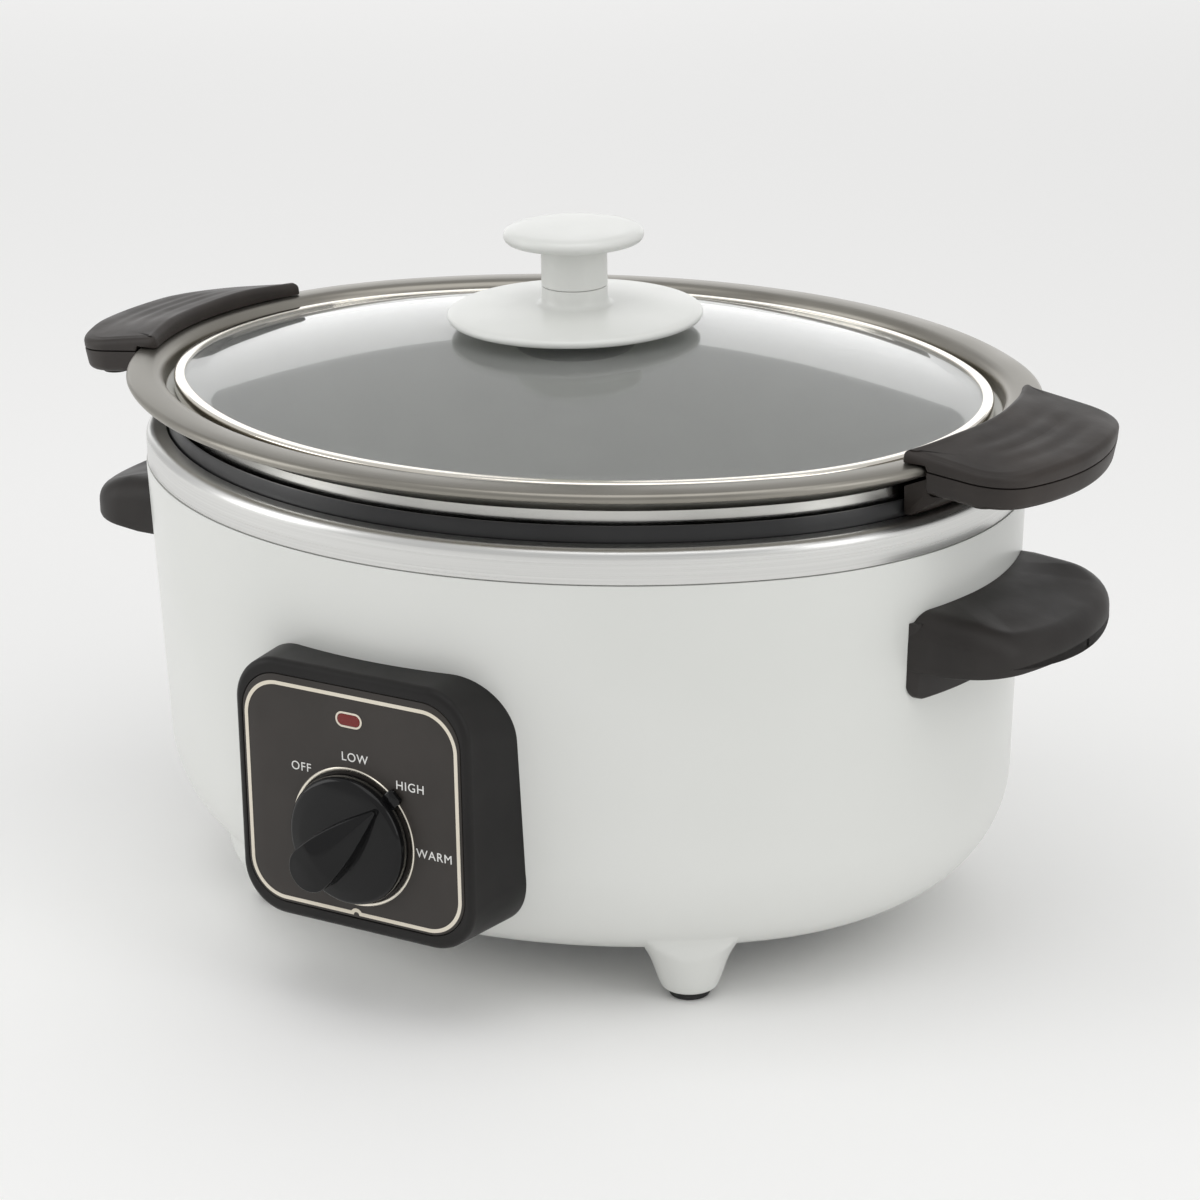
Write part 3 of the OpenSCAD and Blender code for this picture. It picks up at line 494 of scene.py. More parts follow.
# liner: from its floor's upper face outwards, over the lip and back under
LIP = RZ - 14.1
inner = arc(COR_A, COR_Z, 22.9, -90, 0, 10) + [(F - 16.3, RZ - 23), (F - 15.9, LIP - 0.4), (F - 15.7, LIP), (F - 15.1, LIP), (F - 14.9, LIP - 0.4),
         (F - 14.9, RZ - 21.8), (F - 14.4, RZ - 21.3), (F - 9.6, RZ - 21.3), (F - 9.4, RZ - 21.5), (F - 9.4, RZ - 22.5), (F - 15.1, RZ - 22.5)]
wl = Build().sweep_capped([(F - 84, POT_FLOOR - 0.4)] + inner + arc(COR_A, COR_Z, 24.1, 0, -90, 10) + [(F - 84, POT_FLOOR - 1.6)], n=288)
wl.make("heating_well_liner", M["liner"], "base", ["well_liner"], "well_liner", smooth=40)

# foot pads
fp = Build()
for i in (-1, 1):
    for j in (-1, 1):
        fp.lathe([(0.01, 9), (3.9, 9), (4, 8.9), (4, 2.95), (6.9, 2.95), (7.35, 2.7), (7.5, 2.3), (7.5, 0.8), (7.1, 0.2), (6.5, 0), (3.0, 0), (2.4, 0.4), (0.01, 0.4)],
                 n=64, closed=False, at=(i * fx, j * fy, -ZO))
fp.make("rubber_foot_pads", M["rubber"], "base", ["foot_pads"], "foot_rubber", smooth=40)

# ---------------------------------------------------------------- side handles
HX, HY = lohi("side_handle_right")[1][0], 46.0


def u_path(xmax, yh, rc, ro, x_start, n=120):
    """from (x_start, -yh) round the outer side to (x_start, yh), evenly spaced, with normals"""
    xo = xmax - ro
    xc = xo + math.sqrt((ro - rc) ** 2 - (yh - rc) ** 2)
    t = math.degrees(math.atan2(yh - rc, xc - xo))
    pts = [(x_start, -yh)] + arc(xc, -yh + rc, rc, -90, -t, 30) + arc(xo, 0, ro, -t, t, 60)[1:] + arc(xc, yh - rc, rc, t, 90, 30)[1:] + [(x_start, yh)]
    p = np.array(pts)
    d = np.concatenate([[0], np.cumsum(np.linalg.norm(np.diff(p, axis=0), axis=1))])
    s = np.linspace(0, d[-1], n)
    q = np.stack([np.interp(s, d, p[:, 0]), np.interp(s, d, p[:, 1])], 1)
    tg = np.gradient(q, axis=0)
    tg /= np.linalg.norm(tg, axis=1)[:, None]
    nr = np.stack([tg[:, 1], -tg[:, 0]], 1)
    return q, nr


def side_handle():
    b = Build()
    n = 140
    q, nr = u_path(HX, HY, 19, 85, 158.0, n)
    w = np.clip((q[:, 1] + HY) / (2 * HY), 0, 1)

    def top(x, y):
        return 139.2 - 0.10 * np.maximum(x - 172, 0) - 0.0030 * np.maximum(x - 182, 0) ** 2

    def on_body(p, z, gap=0.12):
        """moves points that would enter the housing out to its surface"""
        x = end_x(body_a(z) + gap, p[:, 1])
        return np.stack([np.maximum(p[:, 0], x), p[:, 1]], 1)

    R = 9.0
    rings = []
    rin = 4.0
    tt = np.linspace(-HY + R, HY - R, n)        # target line on the housing for the top
    # ceiling, from the housing out to the inner wall
    q_in, nr_in = u_path(HX - 3.6, HY - 3.6, 15.4, 81.4, 158.0, n)
    zc = 129.5
    tin = np.linspace(-HY + 3.6 + rin, HY - 3.6 - rin, n)
    tgt = np.stack([end_x(body_a(zc) + 3.2, tin), tin], 1)
    edge = on_body(q_in - nr_in * rin, zc, 3.2)
    for s in (0, 0.25, 0.5, 0.75, 1.0):
        p = tgt + (edge - tgt) * s
        rings.append(np.concatenate([p, np.full((n, 1), zc)], 1))
    for a in (25, 50, 75, 90):
        ca, sa = math.cos(math.radians(a)), math.sin(math.radians(a))
        p = on_body(q_in - nr_in * rin * (1 - sa), zc, 3.2)
        rings.append(np.concatenate([p, np.full((n, 1), zc - rin * (1 - ca))], 1))
    # the wall's lip
    lip = 117.6 + 0.105 * np.maximum(q[:, 0] - 178, 0)
    for dz, di in ((6, 0), (1.2, 0), (0.35, -0.35), (0, -1.2)):
        p = on_body(q_in - nr_in * di, 118, 3.2)
        rings.append(np.concatenate([p, (lip + dz)[:, None]], 1))
    for dz, di in ((0, 1.2), (0.35, 0.35), (1.2, 0), (3, 0)):
        p = on_body(q - nr * di, 118)
        rings.append(np.concatenate([p, (lip + dz)[:, None]], 1))
    zt = top(q[:, 0], q[:, 1])
    p = on_body(q, 124)
    rings.append(np.concatenate([p, (zt - R - 3)[:, None]], 1))
    for a in np.linspace(0, 90, 10):
        ca, sa = math.cos(math.radians(a)), math.sin(math.radians(a))
        pp = q - nr * R * (1 - ca)
        z = zt - R + R * sa
        pp = on_body(pp, z)
        rings.append(np.concatenate([pp, z[:, None]], 1))
    inner = on_body(q - nr * R, zt)
    tg = np.stack([end_x(body_a(139) + 0.12, tt), tt], 1)
    for s in (0.2, 0.4, 0.6, 0.8, 1.0):
        p = inner + (tg - inner) * s
        z = top(p[:, 0], p[:, 1])
        z = z + (zt - top(inner[:, 0], inner[:, 1])) * (1 - s)
        rings.append(np.concatenate([p, z[:, None]], 1))
    b.rings(rings, closed_u=False)
    # back plate against the housing, its lower corners rounded
    ys = np.concatenate([np.linspace(-HY, -HY + 1.6, 7), np.linspace(-HY + 2.5, HY - 2.5, 57), np.linspace(HY - 1.6, HY, 7)])
    zlow = 107.0 + np.where(np.abs(ys) > HY - 5, 5 - np.sqrt(np.maximum(25 - (np.abs(ys) - (HY - 5)) ** 2, 0)), 0)
    rings = []
    for z, g in ((136, 0.1), (112, 0.1), (None, 0.3), (None, 0.9), (None, 2.7), (None, 3.3), (112, 3.5), (136, 3.5)):
        if z is None:
            zz = zlow + {0.3: 0.5, 0.9: 0.0, 2.7: 0.0, 3.3: 0.5}[g]
        else:
            zz = np.full(len(ys), float(z))
        thin = np.sqrt(np.maximum(1 - np.clip((np.abs(ys) - (HY - 1.6)) / 1.6, 0, 1) ** 2, 0))
        rings.append(np.stack([end_x(body_a(zz) + 0.1 + (g - 0.1) * thin, ys), ys, zz], 1))
    b.rings(rings, closed_u=False, closed_v=True)
    return b


for side, mir in (("right", False), ("left", True)):
    side_handle().make("side_grip_" + side, M["side_handle"], "base", ["side_handle_" + side], "side_handle", smooth=38, mirror=mir)

# ---------------------------------------------------------------- control panel
def rrect(w, h, r, n=24):
    pts = []
    for (cx, cz, a) in ((w / 2 - r, h / 2 - r, 0), (-w / 2 + r, h / 2 - r, 90), (-w / 2 + r, -h / 2 + r, 180), (w / 2 - r, -h / 2 + r, 270)):
        pts += arc(cx, cz, r, a, a + 90, n)
    return np.array(pts)


PW, PH = 100.0, (_bh[2] - _bl[2]) - 0.5
PBW = 115.0
FR = rrect(PW, PH, 18)
FR2 = rrect(PBW, PH + 0.5, 25)


def inset_rr(d, w=PW, h=PH, r=18.0):
    return rrect(w - 2 * d, h - 2 * d, max(r - d, 1.0))


def flare(y, d=0.0):
    """outline of the bezel at depth y, straight from the front outline to the back one"""
    k = (y - (FY + 3)) / (-125.0 - (FY + 3))
    k = np.clip(k, 0, 1)[:, None] if np.ndim(y) else np.clip(k, 0, 1)
    return FR + (FR2 - FR) * k


def panel_piece():
    b = Build()
    mz = PZ
    def ring(xz, y):
        y = np.broadcast_to(y, (len(xz),))
        return np.stack([xz[:, 0], y, xz[:, 1] + mz], 1)
    rings = [ring(rrect(PW - 8, PH - 12, 15.5), FY + 1.42), ring(rrect(PW - 6.6, PH - 10.5, 16), FY + 1.42), ring(rrect(PW - 6.6, PH - 10.5, 16), FY + 0.35),
             ring(rrect(PW - 6.1, PH - 10.0, 16.2), FY + 0.05)]
    # front edge, rounded
    R = 2.6
    rings.append(ring(inset_rr(R), FY))
    for a in (15, 30, 45, 60, 75, 90):
        rings.append(ring(inset_rr(R * (1 - math.sin(math.radians(a)))), FY + R * (1 - math.cos(math.radians(a)))))
    # sides, until they meet the housing
    lo = np.full(len(FR), FY + 3.0)
    hi = np.full(len(FR), -100.0)
    for _ in range(40):
        mid = (lo + hi) / 2
        xz = flare(mid)
        z = xz[:, 1] + mz
        ys = front_y(body_a(np.maximum(z, UNDER + 0.3)), xz[:, 0])
        ins = mid > ys
        hi = np.where(ins, mid, hi)
        lo = np.where(ins, lo, mid)
    yb = np.minimum(lo, -118.0)
    for s in (0.03, 0.25, 0.5, 0.75, 0.97, 1.0):
        y = (FY + R) + (yb + 0.3 - FY - R) * s
        rings.append(ring(flare(y), y))
    b.rings(rings, cap0="fan")
    return b


panel_piece().make("panel_bezel", M["panel"], "base", ["panel_housing"], "panel", smooth=40)


def plate_ring(b, outer, inner, y0, y1, mat=0, e=0.15):
    """flat band between two outlines, raised from y1 to y0"""
    def ring(xz, y):
        return np.stack([xz[:, 0], np.full(len(xz), y), xz[:, 1]], 1)
    b.rings([ring(outer, y1), ring(outer, y0), ring(inner, y0), ring(inner, y1)], mat=mat)


FW, FH = (_fh[0] - _fl[0]), (_fh[2] - _fl[2])
fpb = Build()
def fring(d, y):
    xz = rrect(FW - 2 * d, FH - 2 * d, max(15.7 - d, 1))
    return np.stack([xz[:, 0], np.full(len(xz), y), xz[:, 1] + PZ], 1)
fpb.rings([fring(0.3, FY + 1.35), fring(0.0, FY + 1.2), fring(0.0, FY + 0.35), fring(0.12, FY + 0.12), fring(0.4, FY + 0.0), fring(8, FY)], cap0="fan", cap1="fan", mat=0)
# cream line round the edge, and the outline of the lens
LH, LZ = FH - 3.6, PZ - 0.75      # the cream line's outer height and its middle
o1 = rrect(FW - 2.1, LH, 14.6) + np.array([0, LZ])
i1 = rrect(FW - 4.9, LH - 2.8, 13.2) + np.array([0, LZ])


def notched(o, r, base):
    """adds the small half-round notch at the bottom middle of the cream line"""
    a0 = math.degrees(math.asin(base / r))
    return np.vstack([o[:75], np.array(arc(0, LZ - LH / 2, r, 180 - a0, a0, 16)), o[75:]])


o1, i1 = notched(o1, 1.2, 0.0), notched(i1, 2.6, 1.4)
plate_ring(fpb, o1, i1, FY - 0.10, FY + 0.05, mat=1)


def pill(w, h, n=16):
    r = h / 2
    return np.array(arc(w / 2 - r, 0, r, -90, 90, n) + arc(-w / 2 + r, 0, r, 90, 270, n))


plate_ring(fpb, pill(11.2, 5.8) + np.array([0, LENS_Z]), pill(9.8, 4.4) + np.array([0, LENS_Z]), FY - 0.14, FY + 0.05, mat=1)
fpb.make("panel_face", [M["face"], M["cream"]], "base", ["face_plate"], "face_plate", smooth=40)

lb = Build()
def lring(d, y):
    xz = pill(9.6 - 2 * d, 4.3 - 2 * d)
    return np.stack([xz[:, 0], np.full(len(xz), y), xz[:, 1] + LENS_Z], 1)
lb.rings([lring(0, FY + 1.3), lring(0, FY - 0.05), lring(0.15, FY - 0.3), lring(0.6, FY - 0.4), lring(1.4, FY - 0.4)], cap0="fan", cap1="fan")
lb.make("power_lens", M["lens"], "base", ["indicator_lens"], "lens", smooth=40)

RR = (lohi("dial_ring")[1][0])
rb = Build().lathe([(RR - 1.35, -FY - 0.6), (RR - 1.35, -FY + 0.35), (RR - 1.05, -FY + 0.6), (RR - 0.3, -FY + 0.6), (RR, -FY + 0.3), (RR, -FY - 0.6)], n=160, at=(0, 0, DZ), axis="-y")
rb.make("dial_trim_ring", M["ring"], "base", ["dial_ring"], "dial_ring", smooth=40)


def legend(name, text, x, z, size):
    cu = bpy.data.curves.new(name, "FONT")
    cu.body = text
    cu.size = size * MM
    cu.align_x = "CENTER"
    cu.align_y = "CENTER"
    cu.extrude = 0.00006
    cu.resolution_u = 6
    cu.space_character = 1.12
    ob = bpy.data.objects.new(name + "_tmp", cu)
    bpy.context.scene.collection.objects.link(ob)
    bpy.context.view_layer.update()
    me = bpy.data.meshes.new_from_object(ob.evaluated_get(bpy.context.evaluated_depsgraph_get()))
    bpy.data.objects.remove(ob)
    me.transform(Matrix.Translation(Vector((x, BY + FY - 0.07, z + ZO)) * MM) @ Matrix.Rotation(math.pi / 2, 4, "X"))
    me.materials.clear()
    me.materials.append(M["legend"])
    o = bpy.data.objects.new(name, me)
    bpy.context.scene.collection.objects.link(o)
    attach(o, "base")
    return o


for nm, tx, x, z in (("legend_off", "OFF", -21.5, DZ + 22.7), ("legend_low", "LOW", 1.9, DZ + 30.1), ("legend_high", "HIGH", 25.2, DZ + 23.4), ("legend_warm", "WARM", 34.5, DZ - 0.8)):
    legend(nm, tx, x, z, 4.65)

# ---------------------------------------------------------------- dial
db = Build()
db.lathe([(8.2, -FY + 0.5), (23.4, -FY + 0.5), (24.0, -FY + 1.0)] + arc(21.6, -FY + 3.9, 2.4, 0, 80, 8) + [(19.2, -FY + 6.8), (17.6, -FY + 7.1), (3.0, -FY + 7.4)],
         n=144, closed=False, at=(0, 0, DZ), axis="-y", cap1="fan")


def grip_outline(n=160):
    """narrow at the pointing end, round at the other; local x across, local u along the pointer"""
    us = np.linspace(-12.6, 20.6, 60)[1:-1]
    ws = 0.9 + 7.7 * np.cos(math.pi / 2 * (us + 12.6) / 33.2)
    p = np.array(arc(0, -12.6, 8.6, 180, 360, 60) + list(zip(ws, us)) + arc(0, 20.6, 0.9, 0, 180, 12) + list(zip(-ws[::-1], us[::-1])))
    p = np.vstack([p, p[:1]])
    d = np.concatenate([[0], np.cumsum(np.linalg.norm(np.diff(p, axis=0), axis=1))])
    s = np.linspace(0, d[-1], n, endpoint=False)
    q = np.stack([np.interp(s, d, p[:, 0]), np.interp(s, d, p[:, 1])], 1)
    tg = np.roll(q, -1, 0) - np.roll(q, 1, 0)
    tg /= np.linalg.norm(tg, axis=1)[:, None]
    return q, np.stack([tg[:, 1], -tg[:, 0]], 1)


go, gn = grip_outline()
ca, sa = math.cos(math.radians(45)), math.sin(math.radians(45))


def to_panel(q, y):
    """local (across, along) at 45 degrees clockwise from up"""
    x = q[:, 0] * ca + q[:, 1] * sa
    z = -q[:, 0] * sa + q[:, 1] * ca
    return np.stack([x, np.broadcast_to(y, (len(q),)), z + DZ], 1)


def lift(q, h):
    """depth of the ridge's point at height h above the panel, lowered towards the tip"""
    k = 1 - 0.82 * np.clip((q[:, 1] + 8) / 29, 0, 1) ** 1.15
    return FY - (7.0 + (h - 7.0) * (k if h > 7.0 else 1.0))


rings = []
for di, h in ((0.9, 3.0), (0.5, 7.2), (0.2, 9.0), (0.0, 12.0), (0.0, 14.9)):
    q = go + gn * di * 0.6
    rings.append(to_panel(q, lift(q, h)))
for a in (20, 40, 60, 80, 90):
    r = 0.6
    q = go - gn * r * (1 - math.cos(math.radians(a)))
    rings.append(to_panel(q, lift(q, 15.2 + r * math.sin(math.radians(a)))))
med = np.stack([np.zeros(len(go)), np.clip(go[:, 1], -12.0, 19.0)], 1)
base_in = go - gn * 0.6
for s in (0.3, 0.6, 0.85, 1.0):
    p = base_in + (med - base_in) * s
    rings.append(to_panel(p, lift(p, 15.8 + 0.9 * math.sin(s * math.pi / 2))))
db.rings(rings)
# pointer tab beyond the ring
tab = np.array([(-3, 19), (3, 19), (3, 27.6), (2.4, 28.6), (-2.4, 28.6), (-3, 27.6)])
db.rings([to_panel(tab, FY - 0.65), to_panel(tab, FY - 2.2), to_panel(tab * np.array([0.8, 0.985]), FY - 2.55)], cap0="fan", cap1="fan")
db.make("selector_dial", M["dial"], "dial", ["control_knob"], "dial", smooth=35)

# ---------------------------------------------------------------- cooking pot
PTW = 2.6
outer = [(F - 84, POT_FLOOR)] + arc(COR_A, COR_Z, 22.5, -90, 0, 12) + [(F - 16.8, RZ - 23), (F - 16.6, RZ - 9.2)]
fl_under = [(F - 16.2, RZ - 8.6), (F - 2.0, RZ - 2.0)] + arc(F - 1.9, RZ - 0.1, 1.9, -62, 80, 9)
fl_top = [(F - 6, RZ + 2.1), (F - 9.5, RZ + 2.05), (F - 11.6, RZ + 1.8), (F - 13.0, RZ + 1.1), (F - 13.9, RZ - 0.3), (F - 14.4, RZ - 1.8), (F - 14.8, RZ - 5.2), (F - 15.1, RZ - 5.4)]
ins = [(F - 21.4, RZ - 5.6), (F - 21.6, RZ - 5.9), (F - 21.8, RZ - 8), (F - 19.4, RZ - 12), (F - 19.4, RZ - 23)] + arc(COR_A, COR_Z, 22.5 - PTW, 0, -90, 12) + [(F - 84, POT_FLOOR + PTW)]
prof = outer + fl_under + fl_top + ins
mats = [0] * (len(outer)) + [1] * (len(fl_under) + len(fl_top) - 1) + [2] * len(ins)
pb = Build().sweep_capped(prof, n=320, mat=mats[:len(prof) - 1])
# cast lugs inside the handles
for s in (-1, 1):
    x0, x1 = s * (F - 5), s * (F + 16)
    v = [(x0, -44, RZ - 4.4), (x1, -44, RZ - 4.4), (x1, 44, RZ - 4.4), (x0, 44, RZ - 4.4), (x0, -44, RZ - 1.0), (x1, -44, RZ - 1.0), (x1, 44, RZ - 1.0), (x0, 44, RZ - 1.0)]
    v = [tuple(q * np.array([s, 1, 1])) for q in droop(np.array(v) * np.array([s, 1, 1]))]
    pb.add(v, [(0, 1, 2, 3), (4, 7, 6, 5), (0, 4, 5, 1), (1, 5, 6, 2), (2, 6, 7, 3), (3, 7, 4, 0)], 1)
pot = pb.make("cast_pot", [M["pot_wall"], M["flange"], M["pot_inside"]], "pot", ["cooking_pot"], "pot", smooth=35)

# ---------------------------------------------------------------- pot handles
PX, PYH = F + 33.0, 48.5


def d_outline(a_in, xmax, yh, rc, ro, n=260, ri=2.5):
    xo = xmax - ro
    xc = xo + math.sqrt((ro - rc) ** 2 - (yh - rc) ** 2)
    t = math.degrees(math.atan2(yh - rc, xc - xo))
    pts = arc(xc, -yh + rc, rc, -90, -t, 40) + arc(xo, 0, ro, -t, t, 60)[1:] + arc(xc, yh - rc, rc, t, 90, 40)[1:]
    xe = float(end_x(a_in, yh))
    k = np.linspace(0, 1, 8)
    cor = lambda p0, p1, p2: [tuple((1 - s) ** 2 * np.array(p0) + 2 * s * (1 - s) * np.array(p1) + s * s * np.array(p2)) for s in k]
    pts += cor((xe + ri, yh), (xe, yh), (float(end_x(a_in, yh - ri)), yh - ri))
    pts += [(float(end_x(a_in, y)), y) for y in np.linspace(yh - ri, -yh + ri, 60)[1:-1]]
    pts += cor((float(end_x(a_in, yh - ri)), -yh + ri), (xe, -yh), (xe + ri, -yh))
    p = np.array(pts + [pts[0]])
    d = np.concatenate([[0], np.cumsum(np.linalg.norm(np.diff(p, axis=0), axis=1))])
    s = np.linspace(0, d[-1], n, endpoint=False)
    q = np.stack([np.interp(s, d, p[:, 0]), np.interp(s, d, p[:, 1])], 1)
    tg = np.roll(q, -1, 0) - np.roll(q, 1, 0)
    tg /= np.linalg.norm(tg, axis=1)[:, None]
    return q, np.stack([tg[:, 1], -tg[:, 0]], 1)


def medial(q, a_in, xmax, yh):
    ym = np.clip(q[:, 1] * 0.80, -yh + 12, yh - 12)
    xi = end_x(a_in, ym)
    ro = 95.0
    xo = (xmax - ro) + np.sqrt(ro ** 2 - ym ** 2)
    return np.stack([(xi + xo) / 2, ym], 1)


def handle_top():
    b = Build()
    a_in = F - 8.5
    q, nr = d_outline(a_in, PX, PYH, 20, 95)
    med = medial(q, a_in, PX, PYH)
    n = len(q)

    def top(x, y):
        z = RZ + 7.3 - 0.05 * (x - (F - 8.5)) - 0.34 * np.log1p(np.exp((np.abs(y) - 24) / 3.0))
        win = 1 / (1 + np.exp((np.abs(y) - 27) / 3.0))
        for xg, dep in ((F + 4.5, 0.55), (F + 13.0, 0.65), (F + 21.5, 0.55)):
            # the finger grooves bow with the outer edge
            xx = xg - 0.0042 * y ** 2
            z = z - dep * np.exp(-((x - xx) / 2.9) ** 2) * win
        return z

    def z_under(x, y):
        """underside over the flange: clears it, and drops to the seam outside it"""
        a = C1 + np.sqrt((x - C1) ** 2 + y ** 2)
        return np.where(a > F + 0.35, SEAM + 0.2, RZ + 2.35 - (F - x) * math.tan(DROOP))

    rings = []
    rb = 0.5
    low = z_under(q[:, 0], q[:, 1])
    # underside from the middle outwards
    for s in (1.0, 0.75, 0.5, 0.25):
        p = q - nr * 1.5 + (med - (q - nr * 1.5)) * s
        rings.append(np.concatenate([p, z_under(p[:, 0], p[:, 1])[:, None]], 1))
    p = q - nr * 1.0
    rings.append(np.concatenate([p, low[:, None]], 1))
    rings.append(np.concatenate([q - nr * 0.12, (low + 0.1)[:, None]], 1))
    rings.append(np.concatenate([q, (low + 0.45)[:, None]], 1))
    R = 2.4
    zt = top(q[:, 0], q[:, 1])
    for a in np.linspace(0, 90, 8):
        p = q - nr * R * (1 - math.cos(math.radians(a)))
        z = np.maximum(zt - R + R * math.sin(math.radians(a)), low + 0.5)
        rings.append(np.concatenate([p, z[:, None]], 1))
    inn = q - nr * R
    for s in np.linspace(0, 1, 15)[1:]:
        p = inn + (med - inn) * s
        rings.append(np.concatenate([p, top(p[:, 0], p[:, 1])[:, None]], 1))
    b.rings(droop(np.array(rings)))
    return b


def handle_bottom():
    b = Build()
    a_in = F + 0.35
    q, nr = d_outline(a_in, PX, PYH, 20, 95, ri=1.5)
    med = medial(q, a_in, PX, PYH)
    zs, zb = SEAM - 0.2, RZ - 9.4
    rings = []
    for s in (1.0, 0.6, 0.3):
        p = q - nr * 1.5 + (med - (q - nr * 1.5)) * s
        rings.append(np.concatenate([p, np.full((len(p), 1), zs)], 1))
    for d, z in ((1.0, zs), (0.12, zs - 0.1), (0, zs - 0.45)):
        rings.append(np.concatenate([q - nr * d, np.full((len(q), 1), z)], 1))
    R = 2.6
    for a in np.linspace(0, 90, 8):
        p = q - nr * (0.5 + R * (1 - math.cos(math.radians(a))))
        rings.append(np.concatenate([p, np.full((len(p), 1), zb + R - R * math.sin(math.radians(a)))], 1))
    inn = q - nr * (R + 0.5)
    for s in (0.3, 0.6, 1.0):
        p = inn + (med - inn) * s
        rings.append(np.concatenate([p, np.full((len(p), 1), zb)], 1))
    b.rings(droop(np.array(rings)))
    # bracket under the flange
    pr = fillet([(F - 14.1, RZ - 19.4, 0.6), (F - 11.6, RZ - 19.4, 1.0), (F + 3, RZ - 9.4, 2.0), (F + 3, RZ - 2.4, 0.3), (F + 0.4, RZ - 2.4, 0.3), (F - 14.1, RZ - 8.8, 0.3)], 4)
    ys = np.concatenate([[-40, -39.85, -39.4], np.linspace(-38, 38, 41), [39.4, 39.85, 40]])
    rings = []
    cen = np.mean(np.array(pr), axis=0)
    for y in ys:
        k = {40: 0.955, 39.85: 0.98, 39.4: 0.995}.get(abs(round(float(y), 2)), 1.0)
        pp = cen + (np.array(pr) - cen) * k
        rings.append(np.stack([end_x(pp[:, 0], np.full(len(pp), y)), np.full(len(pp), y), pp[:, 1]], 1))
    b.rings(rings, cap0="fan", cap1="fan")
    # screw bosses
    for y in (-39, 39):
        b.lathe([(3.8, RZ - 7.5), (3.8, RZ - 10.4), (4.0, RZ - 10.6), (4.7, RZ - 10.6), (5.0, RZ - 10.3), (5.0, RZ - 8.5)], n=48, closed=False, at=(F + 9.5, y, -9.5 * math.sin(DROOP)))
    return b


for side, mir in (("right", False), ("left", True)):
    handle_top().make("pot_grip_%s_upper" % side, M["handle"], "pot", ["pot_handle_%s_top" % side], "pot_handle", smooth=38, mirror=mir)
    handle_bottom().make("pot_grip_%s_lower" % side, M["handle"], "pot", ["pot_handle_%s_bottom" % side], "pot_handle_under", smooth=38, mirror=mir)

# ---------------------------------------------------------------- lid
GA = F - 19.2
GT_ = 3.6
RISE = TOPZ - RZ
EDGE = RZ - 4.1


def dome(s):
    return TOPZ - (RISE + 0.5) * (1 - np.cos(np.radians(np.minimum(s / 0.97, 1) * 58))) / (1 - math.cos(math.radians(58)))


gb = Build()
n = 320
t = (np.arange(n) + 0.5) / n * 2 * math.pi
ex, ey = oval(GA, t)
def grow(a, s, z):
    x, y = oval(GA, t)
    return np.stack([x * s, y * s, np.full(n, z)], 1)
S = np.concatenate([[0.0205], np.linspace(0.05, 1, 26)])
rings = [grow(GA, s, max(float(dome(s)) - GT_, EDGE)) for s in S]
rings.append(grow(GA, 1.0, EDGE + 0.8) + 0)
rings[-2] = grow(GA, 0.9965, EDGE)
rings.append(grow(GA, 1.0, EDGE + GT_ - 0.8))
up = [grow(GA, s, max(float(dome(s)), EDGE + GT_)) for s in S]
up[-1] = grow(GA, 0.9965, max(float(dome(1.0)), EDGE + GT_))
rings += up[::-1]
gb.rings(rings, closed_v=True)
gb.make("glass_dome", M["glass"], "lid", ["lid_glass"], "glass", smooth=40)

rp = fillet([(F - 18, RZ - 4.9, 0.4), (F - 18, RZ + 0.4, 1.1), (F - 22.2, RZ + 0.4, 0.8), (F - 22.2, RZ - 0.35, 0), (F - 18.9, RZ - 0.35, 0), (F - 18.9, RZ - 4.3, 0),
             (F - 21.4, RZ - 4.3, 0), (F - 21.4, RZ - 5.1, 0.2), (F - 18.2, RZ - 5.1, 0.2)], 6)
Build().sweep(rp, n=320).make("lid_rim_band", M["rim"], "lid", ["lid_rim"], "lid_rim", smooth=40)

BD = lohi("knob_base")[1][0]
SR = 12.4
T = TOPZ
kb = Build().lathe([(2.8, T + 14), (2.8, T + 1.7), (BD - 1.2, T + 1.7)] + arc(BD - 1.55, T + 3.15, 1.5, -70, 70, 8) +
                   [(BD - 4, T + 4.95), (BD - 10, T + 5.5), (30, T + 6.15), (20, T + 6.75)] + arc(SR + 3.0, T + 9.9, 3.0, 268, 182, 8) + [(SR, T + 11), (SR, T + 13.75), (SR - 0.25, T + 14)], n=192)
kb.make("knob_base_disc", M["knob"], "lid", ["knob_base"], "lid_knob", smooth=40)

KR = lohi("lid_knob")[1][0]
kk = Build().lathe([(2.6, T + 27), (2.6, T + 14.2), (SR - 0.3, T + 14.2), (SR, T + 14.5), (SR, T + 27.4)] + arc(SR + 3.2, T + 27.4, 3.2, 180, 108, 6) +
                   [(KR - 5.0, T + 31.15)] + arc(KR - 2.45, T + 33.35, 2.45, -62, 62, 10) + [(KR - 5.5, T + 35.85), (KR * 0.45, T + 36.15), (0.02, T + 36.2)],
                   n=192, closed=False, cap0="fan")
kk.make("lid_knob_top", M["knob"], "lid", ["lid_knob"], "lid_knob", smooth=40)

sr = lohi("knob_seal")[1][0]
sb = Build().lathe([(5, RZ + 13.4), (5, RZ + 9.9), (5.3, RZ + 9.6), (sr - 7, RZ + 9.6)] + arc(sr - 4, RZ + 13.6, 4, -90, 0, 8) + [(sr, T - GT_ - 1.6), (sr - 0.3, T - GT_ - 1.4), (2.9, T - GT_ - 1.4), (2.9, RZ + 13.4)], n=128)
sb.make("under_glass_seal", M["seal"], "lid", ["knob_seal"], "seal", smooth=40)

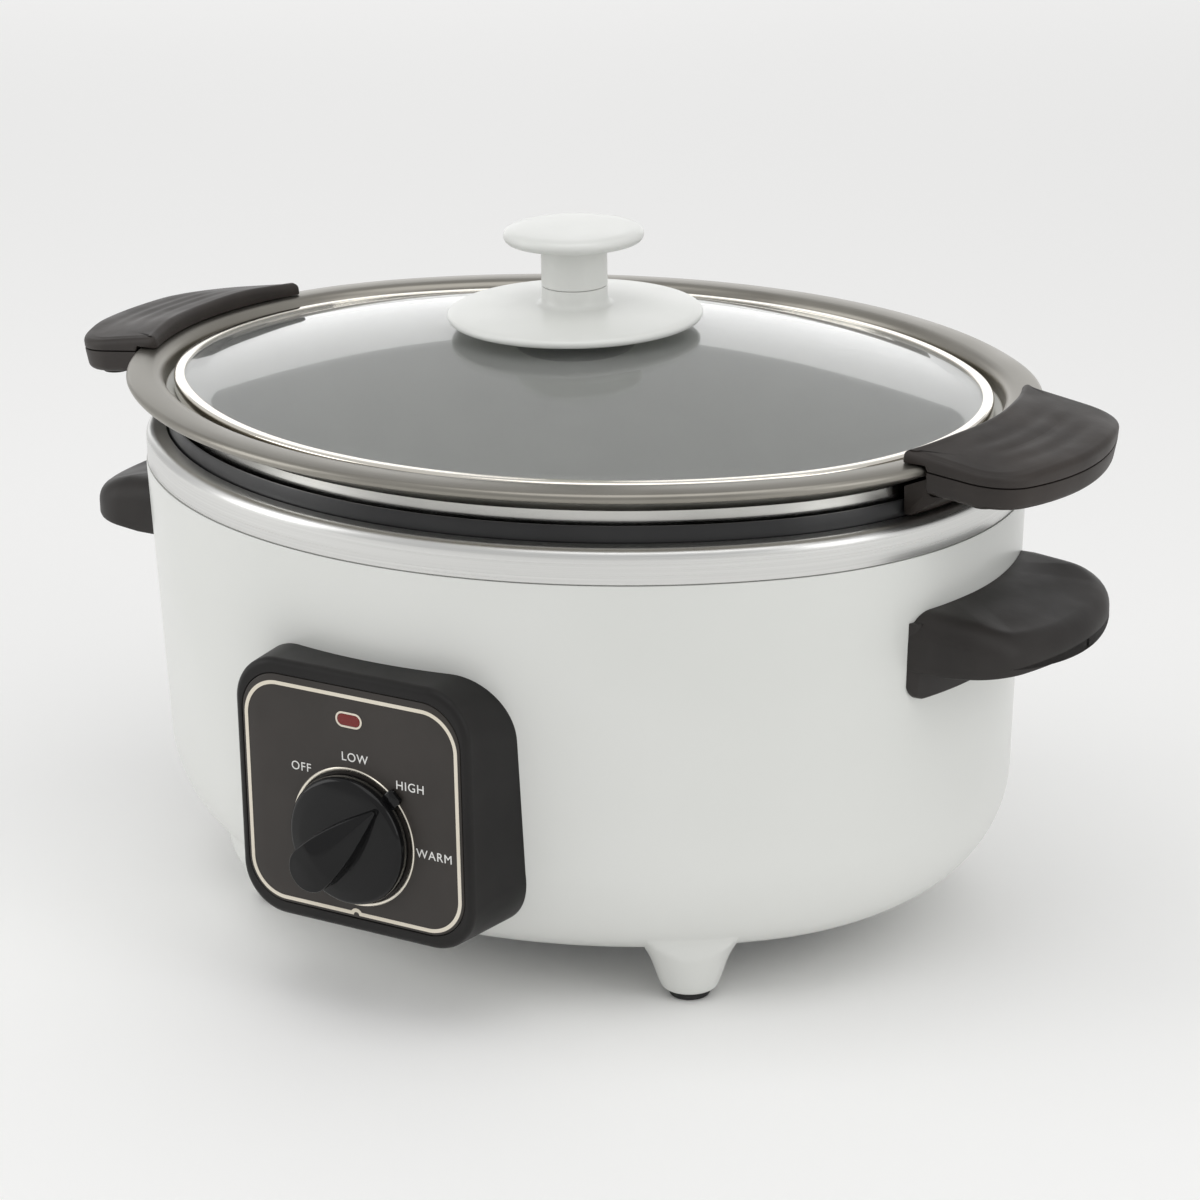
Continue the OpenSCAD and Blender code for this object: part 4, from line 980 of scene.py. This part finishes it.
# ---------------------------------------------------------------- CAD nodes that stay, with their materials
keep = {"heater_band": "mica", "insulation_blanket": "glassmat", "well_stud": "zinc", "well_stud_nut": "zinc", "base_plate": "galv", "base_plate_screws": "zinc",
        "side_handle_screws": "zinc", "indicator_lamp": "bakelite", "rotary_switch": "bakelite", "switch_nut": "zinc", "panel_screws": "zinc", "thermal_cutout": "bakelite",
        "terminal_block": "bakelite", "supply_lead": "lead", "heater_lead": "lead", "lamp_lead": "lead", "cord_gland": "rubber", "switch_shaft": "zinc",
        "pot_handle_screws": "zinc", "knob_gasket": "seal", "knob_screw": "zinc"}
for node, mat in keep.items():
    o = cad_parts[node]
    o.data.materials.clear()
    o.data.materials.append(M[mat])

# ---------------------------------------------------------------- stage and light
fl = bpy.data.meshes.new("floor")
fl.from_pydata([(-6, -6, 0), (6, -6, 0), (6, 6, 0), (-6, 6, 0)], [], [(0, 1, 2, 3)])
fo = bpy.data.objects.new("floor", fl)
bpy.context.scene.collection.objects.link(fo)
fm, nt, b = material("floor_white", color=(0.97, 0.968, 0.96), rough=0.75)
fl.materials.append(fm)

w = bpy.data.worlds.new("studio")
bpy.context.scene.world = w
w.use_nodes = True
w.node_tree.nodes["Background"].inputs["Color"].default_value = (1.0, 1.0, 1.0, 1)
w.node_tree.nodes["Background"].inputs["Strength"].default_value = 0.63


def area(name, loc, look, sx, sy, power, color=(1, 1, 1)):
    d = bpy.data.lights.new(name, "AREA")
    d.shape = "RECTANGLE"
    d.size, d.size_y = sx, sy
    d.energy = power
    d.color = color
    o = bpy.data.objects.new(name, d)
    bpy.context.scene.collection.objects.link(o)
    o.location = loc
    o.rotation_euler = (Vector(look) - Vector(loc)).to_track_quat("-Z", "Y").to_euler()
    return o


area("key_top", (0.3, -0.4, 1.9), (0, 0, 0.15), 1.6, 1.6, 9)
area("side_left", (-1.5, -0.9, 0.7), (0, 0, 0.15), 0.9, 1.2, 6)
area("side_right", (1.6, -0.3, 0.8), (0, 0, 0.15), 0.7, 1.2, 4)

area("back_card", (-1.5, 2.42, 0.62), (0, 0, 0.22), 3.6, 1.3, 11)

bpy.context.scene.view_settings.view_transform = "Standard"
bpy.context.scene.view_settings.look = "None"
bpy.context.scene.view_settings.exposure = 0.0
bpy.context.scene.view_settings.gamma = 1.0
